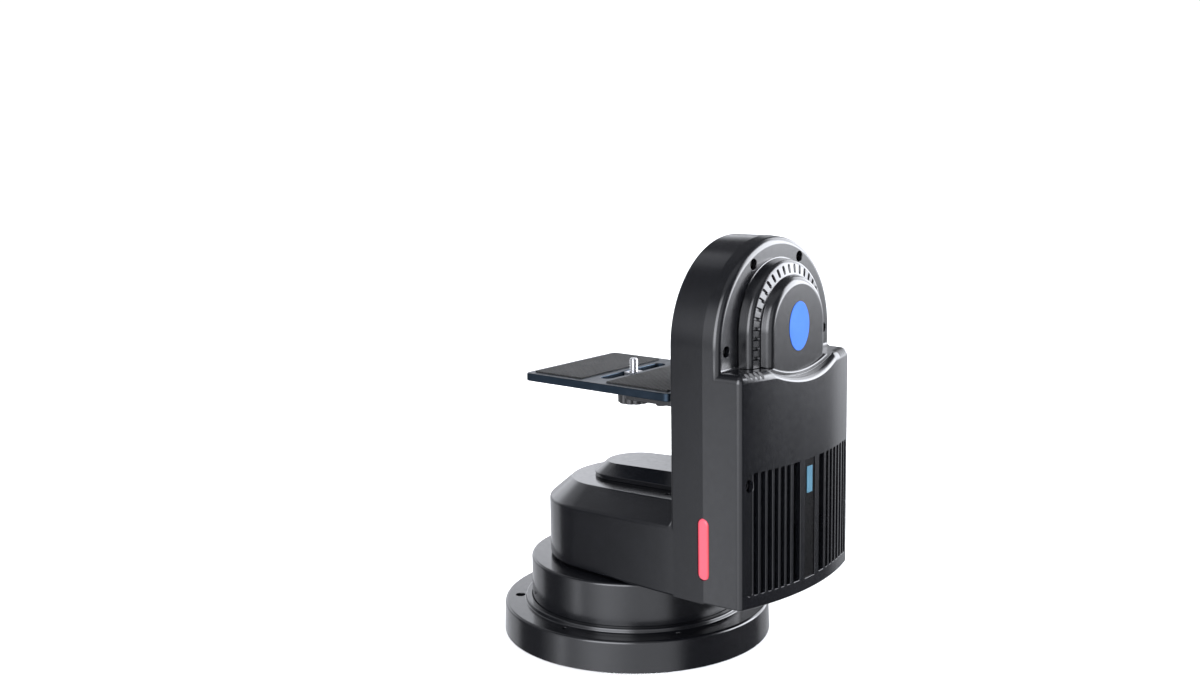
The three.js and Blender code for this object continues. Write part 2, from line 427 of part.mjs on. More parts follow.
function beltLoop(R, r, n = 22) {
  const d = TILT_Z - TILT_MOTOR_Z, b = Math.asin((R - r) / d), pts = [];
  for (let i = 0; i <= n; i++) { const a = -b + (Math.PI + 2 * b) * i / n; pts.push([R * Math.cos(a), TILT_Z + R * Math.sin(a)]); }
  for (let i = 0; i <= n / 2; i++) { const a = Math.PI + b + (Math.PI - 2 * b) * i / (n / 2); pts.push([r * Math.cos(a), TILT_MOTOR_Z + r * Math.sin(a)]); }
  return pts;
}
piece('tilt_belt', cut(slabX(beltLoop(TILT_PULLEY_R + 1.9, MOTOR_PULLEY_R + 1.9), 97, 105), slabX(beltLoop(TILT_PULLEY_R + 0.4, MOTOR_PULLEY_R + 0.4), 96, 106)), RUBBER, 0.8, 0.0);
piece('main_circuit_board', join(slabX([[-52, 160], [52, 160], [52, 197], [-52, 197]], 126, 127.6),
  rod(3, 111.9, 126.4, -46, 166, 8), rod(3, 111.9, 126.4, 46, 166, 8), rod(3, 111.9, 126.4, -46, 191, 8), rod(3, 111.9, 126.4, 46, 191, 8),
  box(127.4, 133, -20, 4, 166, 190), box(127.4, 135, 14, 40, 170, 178)), BOARD, 0.5, 0.1);

// ---- tilting parts --------------------------------------------------------------------------------------------------
piece('inner_bearing_outer_race', tubeX(24.0, 20.6, ARM_X + 0.2, ARM_X + 7, 0, TILT_Z), STEEL, 0.25, 0.9);
piece('inner_bearing_inner_race', tubeX(18.6, 15.3, ARM_X + 0.2, ARM_X + 7, 0, TILT_Z), STEEL, 0.25, 0.9);
piece('outer_bearing_outer_race', tubeX(19.3, 17.2, 107.4, 112.6, 0, TILT_Z), STEEL, 0.25, 0.9);
piece('outer_bearing_inner_race', tubeX(16.6, 15.3, 107.4, 112.6, 0, TILT_Z), STEEL, 0.25, 0.9);
piece('tilt_shaft', tubeX(15.0, 9.0, 79.2, 120, 0, TILT_Z), STEEL, 0.3, 0.9);
piece('tilt_pulley', cut(join(rod(TILT_PULLEY_R, 96.6, 105.4, 0, TILT_Z, 28), rod(37.2, 95.2, 96.7, 0, TILT_Z, 28), rod(37.2, 105.3, 106.8, 0, TILT_Z, 28)), rod(15.5, 90, 110, 0, TILT_Z, 20)), ALU, 0.35, 0.9);
piece('tilt_flange', tubeX(34.0, 15.4, 79.2, ARM_X - 0.6, 0, TILT_Z, 32), STEEL, 0.35, 0.9);
const bo = [];
for (let i = 0; i <= 18; i++) { const a = Math.PI * i / 18; bo.push([40 * Math.cos(a), TILT_Z + 40 * Math.sin(a)]); }
bo.push([-40, 182.6], [40, 182.6]);
const legZ1 = PLAT_TOP - PLAT_T - 0.2;
let bracket = join(slabX(bo, 72.6, 78.9), slabZ([[16, -30], [24, -40], [73, -40], [73, 40], [24, 40], [16, 30]], 182.6, legZ1));
const boltsAt = [45, 135, 225, 315].map((d) => [24 * Math.cos(d * Math.PI / 180), TILT_Z + 24 * Math.sin(d * Math.PI / 180)]);
for (const [y, z] of boltsAt) bracket = cut(bracket, rod(2.5, 70, 82, y, z, 12));
for (const s of [-1, 1]) bracket = cut(bracket, disc(2.5, 180, 190, 12, 46, 26 * s));
piece('l_bracket', bracket, DARK, 0.4, 0.6);
boltsAt.forEach(([y, z], i) => piece('bracket_screw_' + (i + 1), cut(join(rod(4.2, 68.6, 72.4, y, z, 14), rod(2.2, 72.2, 78.8, y, z, 8)), rod(2.0, 67, 70.6, y, z, 6)), STEEL, 0.35, 0.9));
const r4 = (x0, x1, y0, y1, c) => [[x0 + c, y0], [x1 - c, y0], [x1 - c * 0.3, y0 + c * 0.3], [x1, y0 + c], [x1, y1 - c], [x1 - c * 0.3, y1 - c * 0.3], [x1 - c, y1], [x0 + c, y1], [x0 + c * 0.3, y1 - c * 0.3], [x0, y1 - c], [x0, y0 + c], [x0 + c * 0.3, y0 + c * 0.3]];
const slotPts = (half, w) => {
  const pts = [], r = w / 2;
  for (let i = 0; i <= 10; i++) { const a = Math.PI * i / 10; pts.push([r * Math.cos(a), half - r + r * Math.sin(a)]); }
  for (let i = 0; i <= 10; i++) { const a = Math.PI + Math.PI * i / 10; pts.push([r * Math.cos(a), -half + r + r * Math.sin(a)]); }
  return pts;
};
let platform = slabZ(r4(PLAT_X0, PLAT_X1, -PLAT_Y, PLAT_Y, 5), PLAT_TOP - PLAT_T, PLAT_TOP);
platform = cut(platform, slabZ(slotPts(SLOT_HALF, SLOT_W), 180, 200));
piece('camera_platform', platform, NAVY, 0.35, 0.8);
piece('platform_pad_left', slabZ(r4(-56, -12, -46, 46, 2), PLAT_TOP + 0.05, PLAT_TOP + 1.05), RUBBER, 0.9, 0.0);
piece('platform_pad_right', slabZ(r4(12, 66, -46, 46, 2), PLAT_TOP + 0.05, PLAT_TOP + 1.05), RUBBER, 0.9, 0.0);
for (const [s, nm] of [[-1, 'front'], [1, 'rear']]) piece('platform_screw_' + nm, cut(join(disc(4.2, 178.9, 182.4, 14, 46, 26 * s), disc(2.2, 182.2, legZ1 - 0.1, 8, 46, 26 * s)), disc(2.0, 178, 180.6, 6, 46, 26 * s)), STEEL, 0.35, 0.9);
const PU = PLAT_TOP - PLAT_T;
piece('screw_carriage', cut(join(slabZ(r4(-9, 9, -11, 11, 2), PU - 2.5, PU - 0.3), box(-4.7, 4.7, -6, 6, PU - 0.5, PLAT_TOP - 0.4)), disc(3.5, 180, 200, 18)), STEEL, 0.35, 0.9);
piece('camera_screw', join(disc(3.15, 172, 203.2, 18), disc(2.5, 203, 203.9, 18)), STEEL, 0.3, 0.95);
const kp = [];
for (let i = 0; i < 40; i++) { const a = 2 * Math.PI * i / 40, r = i % 4 < 2 ? 12.0 : 11.2; kp.push([r * Math.cos(a), r * Math.sin(a)]); }
piece('screw_knob', cut(slabZ(kp, 171.0, 184.8), disc(3.3, 170, 190, 18)), DARK, 0.6, 0.0);

export default head;
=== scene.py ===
# Looks of the pan and tilt head. Lengths in this file are millimetres until a mesh is made; Blender gets metres.
import bpy, bmesh, math, json
from mathutils import Vector, Matrix


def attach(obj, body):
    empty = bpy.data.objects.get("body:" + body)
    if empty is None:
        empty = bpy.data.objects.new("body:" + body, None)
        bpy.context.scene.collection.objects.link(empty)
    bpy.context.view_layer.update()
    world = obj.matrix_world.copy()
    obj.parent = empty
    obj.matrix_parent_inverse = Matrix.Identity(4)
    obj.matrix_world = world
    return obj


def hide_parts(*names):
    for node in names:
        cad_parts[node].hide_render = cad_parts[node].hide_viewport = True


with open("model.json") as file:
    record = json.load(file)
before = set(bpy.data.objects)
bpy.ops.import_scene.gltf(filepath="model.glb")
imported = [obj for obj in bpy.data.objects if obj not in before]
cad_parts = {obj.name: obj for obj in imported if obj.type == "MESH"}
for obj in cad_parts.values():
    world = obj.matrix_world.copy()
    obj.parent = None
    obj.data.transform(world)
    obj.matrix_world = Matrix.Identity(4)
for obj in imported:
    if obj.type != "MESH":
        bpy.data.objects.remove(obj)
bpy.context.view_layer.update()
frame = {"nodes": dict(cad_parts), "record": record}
NODES = frame["nodes"]
RECORD = frame["record"]
BODY_OF = {n: b for b, ns in RECORD["behaviour"]["bodies"].items() for n in ns}
SLOT_OF = {s["node"]: s["material_slot"] for s in RECORD["subparts"]}
SCENE = bpy.context.scene
MM = 0.001
rad, cos, sin, pi = math.radians, math.cos, math.sin, math.pi

# ---------------------------------------------------------------------------------------------------------------------
# camera
# ---------------------------------------------------------------------------------------------------------------------
def make_camera():
    yaw, pitch, roll = rad(38.9199) + 0.0229102, 0.16872955, -0.01724728
    fw = Vector((-sin(yaw) * cos(pitch), cos(yaw) * cos(pitch), -sin(pitch)))
    rt = Vector((cos(yaw), sin(yaw), 0))
    up = rt.cross(fw)
    r2 = rt * cos(roll) + up * sin(roll)
    u2 = up * cos(roll) - rt * sin(roll)
    cam = bpy.data.cameras.new("camera")
    cam.sensor_width = 36.0
    cam.lens = 1477.12 / 1200 * 36.0
    cam.clip_start, cam.clip_end = 0.05, 60
    ob = bpy.data.objects.new("camera", cam)
    SCENE.collection.objects.link(ob)
    m = Matrix((r2, u2, -fw)).transposed().to_4x4()
    m.translation = Vector((0.67150, -0.83160, 0.40171))
    ob.matrix_world = m
    SCENE.camera = ob
make_camera()

# ---------------------------------------------------------------------------------------------------------------------
# mesh tools
# ---------------------------------------------------------------------------------------------------------------------
def build(name, verts, faces):
    me = bpy.data.meshes.new(name)
    me.from_pydata([(x * MM, y * MM, z * MM) for x, y, z in verts], [], faces)
    bm = bmesh.new()
    bm.from_mesh(me)
    bmesh.ops.remove_doubles(bm, verts=bm.verts, dist=2e-6)
    bmesh.ops.dissolve_degenerate(bm, edges=bm.edges, dist=1e-7)
    bmesh.ops.recalc_face_normals(bm, faces=bm.faces)
    bm.to_mesh(me)
    bm.free()
    ob = bpy.data.objects.new(name, me)
    SCENE.collection.objects.link(ob)
    return ob

def join(name, obs):
    bm = bmesh.new()
    for o in obs:
        bm.from_mesh(o.data)
    me = bpy.data.meshes.new(name)
    bm.to_mesh(me)
    bm.free()
    for o in obs:
        bpy.data.objects.remove(o)
    ob = bpy.data.objects.new(name, me)
    SCENE.collection.objects.link(ob)
    return ob

def applied(ob):
    dg = bpy.context.evaluated_depsgraph_get()
    me = bpy.data.meshes.new_from_object(ob.evaluated_get(dg))
    ob.modifiers.clear()
    ob.data = me
    return ob

def boolean(ob, others, op="DIFFERENCE", overlap=False):
    for o in others:
        m = ob.modifiers.new("b", "BOOLEAN")
        m.operation, m.solver, m.object, m.use_self = op, "EXACT", o, overlap
    applied(ob)
    bm = bmesh.new()
    bm.from_mesh(ob.data)
    bmesh.ops.remove_doubles(bm, verts=bm.verts, dist=1.5e-6)
    bmesh.ops.dissolve_degenerate(bm, edges=bm.edges, dist=1e-7)
    bm.to_mesh(ob.data)
    bm.free()
    for o in others:
        bpy.data.objects.remove(o)
    return ob

def shade(ob, angle=32):
    bm = bmesh.new()
    bm.from_mesh(ob.data)
    bmesh.ops.remove_doubles(bm, verts=bm.verts, dist=1.5e-6)
    bmesh.ops.dissolve_degenerate(bm, edges=bm.edges, dist=1e-7)
    bm.to_mesh(ob.data)
    bm.free()
    ob.data.polygons.foreach_set("use_smooth", [True] * len(ob.data.polygons))
    ob.data.set_sharp_from_angle(angle=rad(angle))
    m = ob.modifiers.new("n", "WEIGHTED_NORMAL")
    m.keep_sharp, m.weight = True, 60
    return applied(ob)

def rounded(pts, radii, closed=True, step=9.0, count=None):
    """A polyline whose corners become arcs."""
    out, n = [], len(pts)
    for i in range(n):
        p, r = Vector(pts[i]), radii[i]
        if r <= 0 or (not closed and i in (0, n - 1)):
            out.append(tuple(p))
            continue
        a, b = (Vector(pts[i - 1]) - p).normalized(), (Vector(pts[(i + 1) % n]) - p).normalized()
        ang = a.angle(b)
        if ang > rad(179.5):
            out.append(tuple(p))
            continue
        t = r / math.tan(ang / 2)
        c = p + (a + b).normalized() * (r / sin(ang / 2))
        s, e = p + a * t - c, p + b * t - c
        k = count or max(2, math.ceil(math.degrees(pi - ang) / step - 1e-6))
        a0 = math.atan2(s.y, s.x)
        d = (math.atan2(e.y, e.x) - a0 + pi) % (2 * pi) - pi
        out += [(c.x + r * cos(a0 + d * j / k), c.y + r * sin(a0 + d * j / k)) for j in range(k + 1)]
    return out

def inset(pts, e):
    """A closed polygon with each side moved in by e."""
    n, out = len(pts), []
    area = sum(pts[i][0] * pts[(i + 1) % n][1] - pts[(i + 1) % n][0] * pts[i][1] for i in range(n))
    s = 1 if area > 0 else -1
    for i in range(n):
        p, a, b = Vector(pts[i]), Vector(pts[i - 1]), Vector(pts[(i + 1) % n])
        u, v = (p - a).normalized(), (b - p).normalized()
        nu, nv = Vector((-u.y, u.x)) * s, Vector((-v.y, v.x)) * s
        q = (nu + nv)
        q = q / max(0.25, q.dot(nu))
        out.append(tuple(p + q * e))
    return out

def poly(pts, radii, step=9.0):
    """Outline as a function of its inset. Corners are rounded."""
    if not isinstance(radii, (list, tuple)):
        radii = [radii] * len(pts)
    def f(e):
        return rounded(inset(pts, e), [max(0.02, r - e) if r > 0 else 0 for r in radii], True, step)
    return f

def rect(x0, x1, y0, y1, r):
    return poly([(x0, y0), (x1, y0), (x1, y1), (x0, y1)], r)

def stadium(cx, cy, half_u, half_v, n=12):
    """Rounded slot along v, with half width half_u."""
    def f(e):
        r = half_u - e
        out = []
        for i in range(n + 1):
            a = pi * i / n
            out.append((cx + r * cos(a), cy + half_v - half_u + r * sin(a)))
        for i in range(n + 1):
            a = pi + pi * i / n
            out.append((cx + r * cos(a), cy - half_v + half_u + r * sin(a)))
        return out
    return f

def circle(cx, cy, r, n=48):
    return lambda e: [(cx + (r - e) * cos(2 * pi * i / n), cy + (r - e) * sin(2 * pi * i / n)) for i in range(n)]

PLACE = {"Z": lambda u, v, h: (u, v, h), "X": lambda u, v, h: (h, u, v), "Y": lambda u, v, h: (u, h, v)}

def loft(name, rings, wrap=False, caps=True):
    n, m = len(rings[0]), len(rings)
    assert all(len(r) == n for r in rings), (name, [len(r) for r in rings])
    verts = [p for r in rings for p in r]
    faces = []
    for k in range(m if wrap else m - 1):
        k2 = (k + 1) % m
        for i in range(n):
            j = (i + 1) % n
            faces.append((k * n + i, k * n + j, k2 * n + j, k2 * n + i))
    if caps and not wrap:
        faces.append(tuple(range(n - 1, -1, -1)))
        faces.append(tuple((m - 1) * n + i for i in range(n)))
    return build(name, verts, faces)

def edge_levels(lo, hi, r_lo, r_hi, n=5):
    """(height, inset) pairs for a plate with rounded lower and upper edges."""
    out = []
    if r_lo > 0:
        for i in range(n + 1):
            a = pi / 2 * i / n
            out.append((lo + r_lo * (1 - cos(a)), r_lo * (1 - sin(a))))
    else:
        out.append((lo, 0))
    if r_hi > 0:
        for i in range(n + 1):
            a = pi / 2 * (1 - i / n)
            out.append((hi - r_hi * (1 - cos(a)), r_hi * (1 - sin(a))))
    else:
        out.append((hi, 0))
    return out

def plate(name, outline, lo, hi, r_lo=0.4, r_hi=None, axis="Z", n=5):
    r_hi = r_lo if r_hi is None else r_hi
    return loft(name, [[PLACE[axis](u, v, h) for u, v in outline(e)] for h, e in edge_levels(lo, hi, r_lo, r_hi, n)])

def lathe(name, prof, radii=0, seg=160, axis="Z", at=(0, 0, 0), step=9.0):
    """Closed profile of (radius, height) turned round an axis through at."""
    if not isinstance(radii, (list, tuple)):
        radii = [radii] * len(prof)
    prof = rounded(prof, radii, True, step)
    rings = []
    for s in range(seg):
        a = 2 * pi * s / seg
        ring = []
        for r, h in prof:
            x, y, z = PLACE[axis](r * cos(a), r * sin(a), h)
            ring.append((x + at[0], y + at[1], z + at[2]))
        rings.append(ring)
    return loft(name, rings, wrap=True)

FLARE0 = rad(24)
def pocket(name, outline, surf, depth, flare=0.4, out=0.7, n=4):
    """A cutter that sinks an outline into a surface and leaves a rounded rim.
    outline(e) gives the outline inset by e, and surf(u, v, d) the point at depth d under the surface."""
    lev = []
    d0 = flare * (1 - cos(FLARE0))
    e0 = flare * (1 - sin(FLARE0))
    lev.append((-out, e0 + 0.3))
    lev.append((0, e0))
    for i in range(1, n + 1):
        a = FLARE0 + (pi / 2 - FLARE0) * i / n
        lev.append((flare * (1 - cos(a)) - d0, flare * (1 - sin(a))))
    lev.append((depth, 0))
    return loft(name, [[surf(u, v, d) for u, v in outline(-e)] for d, e in lev])

def flat(axis, at, sign):
    """Surface map for a plane square to an axis; sign is the way the surface faces."""
    return lambda u, v, d: PLACE[axis](u, v, at - sign * d)

# ---------------------------------------------------------------------------------------------------------------------
# materials
# ---------------------------------------------------------------------------------------------------------------------
def new_material(name):
    m = bpy.data.materials.new(name)
    m.use_nodes = True
    nt = m.node_tree
    b = nt.nodes["Principled BSDF"]
    return m, nt, b

def coords(nt):
    return nt.nodes.new("ShaderNodeTexCoord").outputs["Object"]

def noise(nt, vec, scale, detail=3.0, rough=0.5):
    n = nt.nodes.new("ShaderNodeTexNoise")
    n.inputs["Scale"].default_value = scale
    n.inputs["Detail"].default_value = detail
    n.inputs["Roughness"].default_value = rough
    nt.links.new(vec, n.inputs["Vector"])
    return n.outputs["Fac"]

def ramp(nt, fac, stops):
    r = nt.nodes.new("ShaderNodeValToRGB")
    while len(r.color_ramp.elements) < len(stops):
        r.color_ramp.elements.new(0.5)
    for el, (p, c) in zip(r.color_ramp.elements, stops):
        el.position = p
        el.color = (c, c, c, 1) if isinstance(c, (int, float)) else (*c, 1)
    nt.links.new(fac, r.inputs["Fac"])
    return r.outputs["Color"]

def map_range(nt, fac, a, b, c, d):
    r = nt.nodes.new("ShaderNodeMapRange")
    for k, v in zip(("From Min", "From Max", "To Min", "To Max"), (a, b, c, d)):
        r.inputs[k].default_value = v
    nt.links.new(fac, r.inputs["Value"])
    return r.outputs["Result"]

def bump(nt, b, height, strength, distance, after=None):
    n = nt.nodes.new("ShaderNodeBump")
    n.inputs["Strength"].default_value = strength
    n.inputs["Distance"].default_value = distance
    nt.links.new(height, n.inputs["Height"])
    if after is not None:
        nt.links.new(after, n.inputs["Normal"])
    nt.links.new(n.outputs["Normal"], b.inputs["Normal"])
    return n.outputs["Normal"]

def painted(name, dark, light, rough, grain=1300.0, strength=0.16, distance=0.00006, spec=0.5, metallic=0.0):
    """Powder coat: fine grain, a slow waviness and slightly uneven gloss."""
    m, nt, b = new_material(name)
    v = coords(nt)
    nt.links.new(ramp(nt, noise(nt, v, 55, 4, 0.6), [(0.3, dark), (0.7, light)]), b.inputs["Base Color"])
    nt.links.new(map_range(nt, noise(nt, v, 300, 3, 0.6), 0.3, 0.7, rough - 0.03, rough + 0.03), b.inputs["Roughness"])
    b.inputs["Specular IOR Level"].default_value = spec
    b.inputs["Metallic"].default_value = metallic
    slow = bump(nt, b, noise(nt, v, 70, 2, 0.4), 0.03, 0.0003)
    bump(nt, b, noise(nt, v, grain, 1, 0.5), strength, distance, slow)
    return m

def metal(name, dark, light, rough, direction=None, scale=900.0, strength=0.05, spread=0.06):
    """Machined metal. direction stretches the marks along one axis."""
    m, nt, b = new_material(name)
    v = coords(nt)
    mp = nt.nodes.new("ShaderNodeMapping")
    s = [1.0, 1.0, 1.0]
    if direction is not None:
        s[direction] = 0.03
    mp.inputs["Scale"].default_value = s
    nt.links.new(v, mp.inputs["Vector"])
    lines = noise(nt, mp.outputs["Vector"], scale, 4, 0.65)
    nt.links.new(ramp(nt, noise(nt, v, 90, 3, 0.5), [(0.3, dark), (0.7, light)]), b.inputs["Base Color"])
    nt.links.new(map_range(nt, lines, 0.3, 0.7, rough - spread, rough + spread), b.inputs["Roughness"])
    b.inputs["Metallic"].default_value = 1.0
    bump(nt, b, lines, strength, 0.00003)
    return m

def plastic(name, dark, light, rough, grain=2200.0, strength=0.1, spec=0.5):
    m, nt, b = new_material(name)
    v = coords(nt)
    nt.links.new(ramp(nt, noise(nt, v, 80, 3, 0.5), [(0.3, dark), (0.7, light)]), b.inputs["Base Color"])
    nt.links.new(map_range(nt, noise(nt, v, 600, 3, 0.6), 0.3, 0.7, rough - 0.04, rough + 0.04), b.inputs["Roughness"])
    b.inputs["Specular IOR Level"].default_value = spec
    bump(nt, b, noise(nt, v, grain, 2, 0.5), strength, 0.00004)
    return m

MAT = {}
MAT["paint"] = painted("satin_black_powder_coat", (0.0022, 0.0024, 0.0032), (0.0034, 0.0036, 0.0046), 0.2, grain=1500.0, strength=0.04, distance=0.00002)
MAT["paint_grain"] = painted("satin_black_powder_coat_grained", (0.0026, 0.0028, 0.0034), (0.0046, 0.0048, 0.0056), 0.19, grain=1050.0, strength=0.2, distance=0.00003)
MAT["dark_plate"] = painted("matt_black_plate", (0.011, 0.011, 0.012), (0.016, 0.016, 0.017), 0.5, grain=1700.0, strength=0.2)
MAT["steel"] = metal("turned_steel", (0.52, 0.52, 0.53), (0.62, 0.62, 0.63), 0.3)
MAT["screw"] = metal("black_oxide_screws", (0.035, 0.035, 0.037), (0.06, 0.06, 0.062), 0.36, scale=1500.0, strength=0.1)
MAT["aluminium"] = metal("milled_aluminium", (0.6, 0.61, 0.62), (0.7, 0.71, 0.72), 0.34, direction=1, scale=700.0)
MAT["nickel"] = metal("nickel_plated_shield", (0.5, 0.49, 0.46), (0.6, 0.59, 0.56), 0.28, direction=0, scale=800.0)
MAT["gold"] = metal("gold_contacts", (0.75, 0.5, 0.16), (0.85, 0.6, 0.22), 0.25)
MAT["brass"] = metal("hobbed_brass", (0.55, 0.38, 0.14), (0.68, 0.48, 0.2), 0.32, direction=2, scale=600.0)
MAT["motor"] = painted("motor_can_black", (0.012, 0.012, 0.013), (0.02, 0.02, 0.021), 0.38)
MAT["navy"] = metal("navy_anodised_aluminium", (0.02, 0.03, 0.042), (0.028, 0.04, 0.056), 0.4, direction=1, scale=1100.0, strength=0.04)
MAT["rubber"] = plastic("black_rubber", (0.011, 0.011, 0.011), (0.019, 0.019, 0.019), 0.72, grain=1500.0, strength=0.35, spec=0.35)
MAT["plastic"] = plastic("black_moulded_plastic", (0.012, 0.012, 0.013), (0.02, 0.02, 0.021), 0.42, strength=0.22)
MAT["board"] = plastic("green_circuit_board", (0.008, 0.07, 0.025), (0.014, 0.1, 0.04), 0.4)
MAT["white"] = plastic("white_marks", (0.7, 0.7, 0.7), (0.8, 0.8, 0.8), 0.5, strength=0.05)
# Nearly black, barely glossy coat for the floor of the cover's shallow middle strip: painted shade that darkens the
# recess
MAT["strip_shade"] = plastic("painted_shade_strip_floor", (0.0012, 0.0012, 0.0014), (0.0022, 0.0022, 0.0024), 0.3, grain=1900.0, strength=0.05, spec=0.1)
MAT["badge"] = plastic("blue_badge", (0.029, 0.1, 0.41), (0.033, 0.108, 0.43), 0.6, grain=1600.0, strength=0.08, spec=0.1)
MAT["tag"] = plastic("light_blue_tag", (0.034, 0.095, 0.138), (0.04, 0.105, 0.15), 0.55, spec=0.1)

def lamp_material():
    """Red lens lit from behind: paler in its middle, deeper red at its rim."""
    m, nt, b = new_material("lit_red_lens")
    v = coords(nt)
    sep = nt.nodes.new("ShaderNodeSeparateXYZ")
    nt.links.new(v, sep.inputs["Vector"])
    sub = nt.nodes.new("ShaderNodeMath"); sub.operation = "SUBTRACT"; sub.inputs[1].default_value = 0.1129
    nt.links.new(sep.outputs["X"], sub.inputs[0])
    ab = nt.nodes.new("ShaderNodeMath"); ab.operation = "ABSOLUTE"
    nt.links.new(sub.outputs[0], ab.inputs[0])
    side = map_range(nt, ab.outputs[0], 0.0022, 0.0043, 0.0, 1.0)
    col = ramp(nt, side, [(0.0, (1.0, 0.16, 0.24)), (0.5, (0.98, 0.1, 0.15)), (1.0, (0.7, 0.02, 0.05))])
    b.inputs["Base Color"].default_value = (0.12, 0.008, 0.012, 1)
    nt.links.new(col, b.inputs["Emission Color"])
    b.inputs["Emission Strength"].default_value = 0.85
    b.inputs["Roughness"].default_value = 0.35
    nt.links.new(map_range(nt, noise(nt, v, 700, 2), 0.3, 0.7, 0.3, 0.42), b.inputs["Roughness"])
    bump(nt, b, noise(nt, v, 900, 2), 0.05, 0.00004)
    return m
MAT["lamp"] = lamp_material()

def show(ob, node, mat, name=None, also=()):
    """The finished piece stands for its node and rides with it."""
    ob.name = name or node + "_detail"
    ob.data.name = ob.name
    ob.data.materials.clear()
    ob.data.materials.append(MAT[mat])
    for a in also:
        ob.data.materials.append(MAT[a])
    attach(ob, BODY_OF[node])
    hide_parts(node)
    return ob

def extra(ob, name, body, mat):
    ob.name = name
    ob.data.name = name
    ob.data.materials.clear()
    ob.data.materials.append(MAT[mat])
    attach(ob, body)
    return ob

# ---------------------------------------------------------------------------------------------------------------------
# dimensions, the same as the frame's
# ---------------------------------------------------------------------------------------------------------------------
BASE_R, FLANGE_TOP, LIP_TOP, BOLT_R = 99.6, 23.0, 26.2, 87.9
BOLTS = ((-141, 3.5), (-87, 1.7), (-32, 1.7), (39, 3.5), (93, 1.7), (148, 1.7))
DRUM_R, DRUM_TOP = 78.5, 57.4
BODY_Z, RISE = 59.0, 0.045
ARM_X, ARM_W, PARTING_X, ARCH_Z = 86.0, 68.9, 113.0, 231.0
PLATE_X, COVER_W, LEDGE_Z, CORNER_X, BULGE_X = 125.0, 69.4, 217.0, 141.0, 152.5
LEDGE_R = 5.6
DRAFT = math.tan(rad(4.5))
SCALLOP_Z, SCALLOP_R = 206.8, 98.4
TILT_Z = 240.0

def bulge(y):
    return BULGE_X - (BULGE_X - CORNER_X) * (y / 68) ** 2

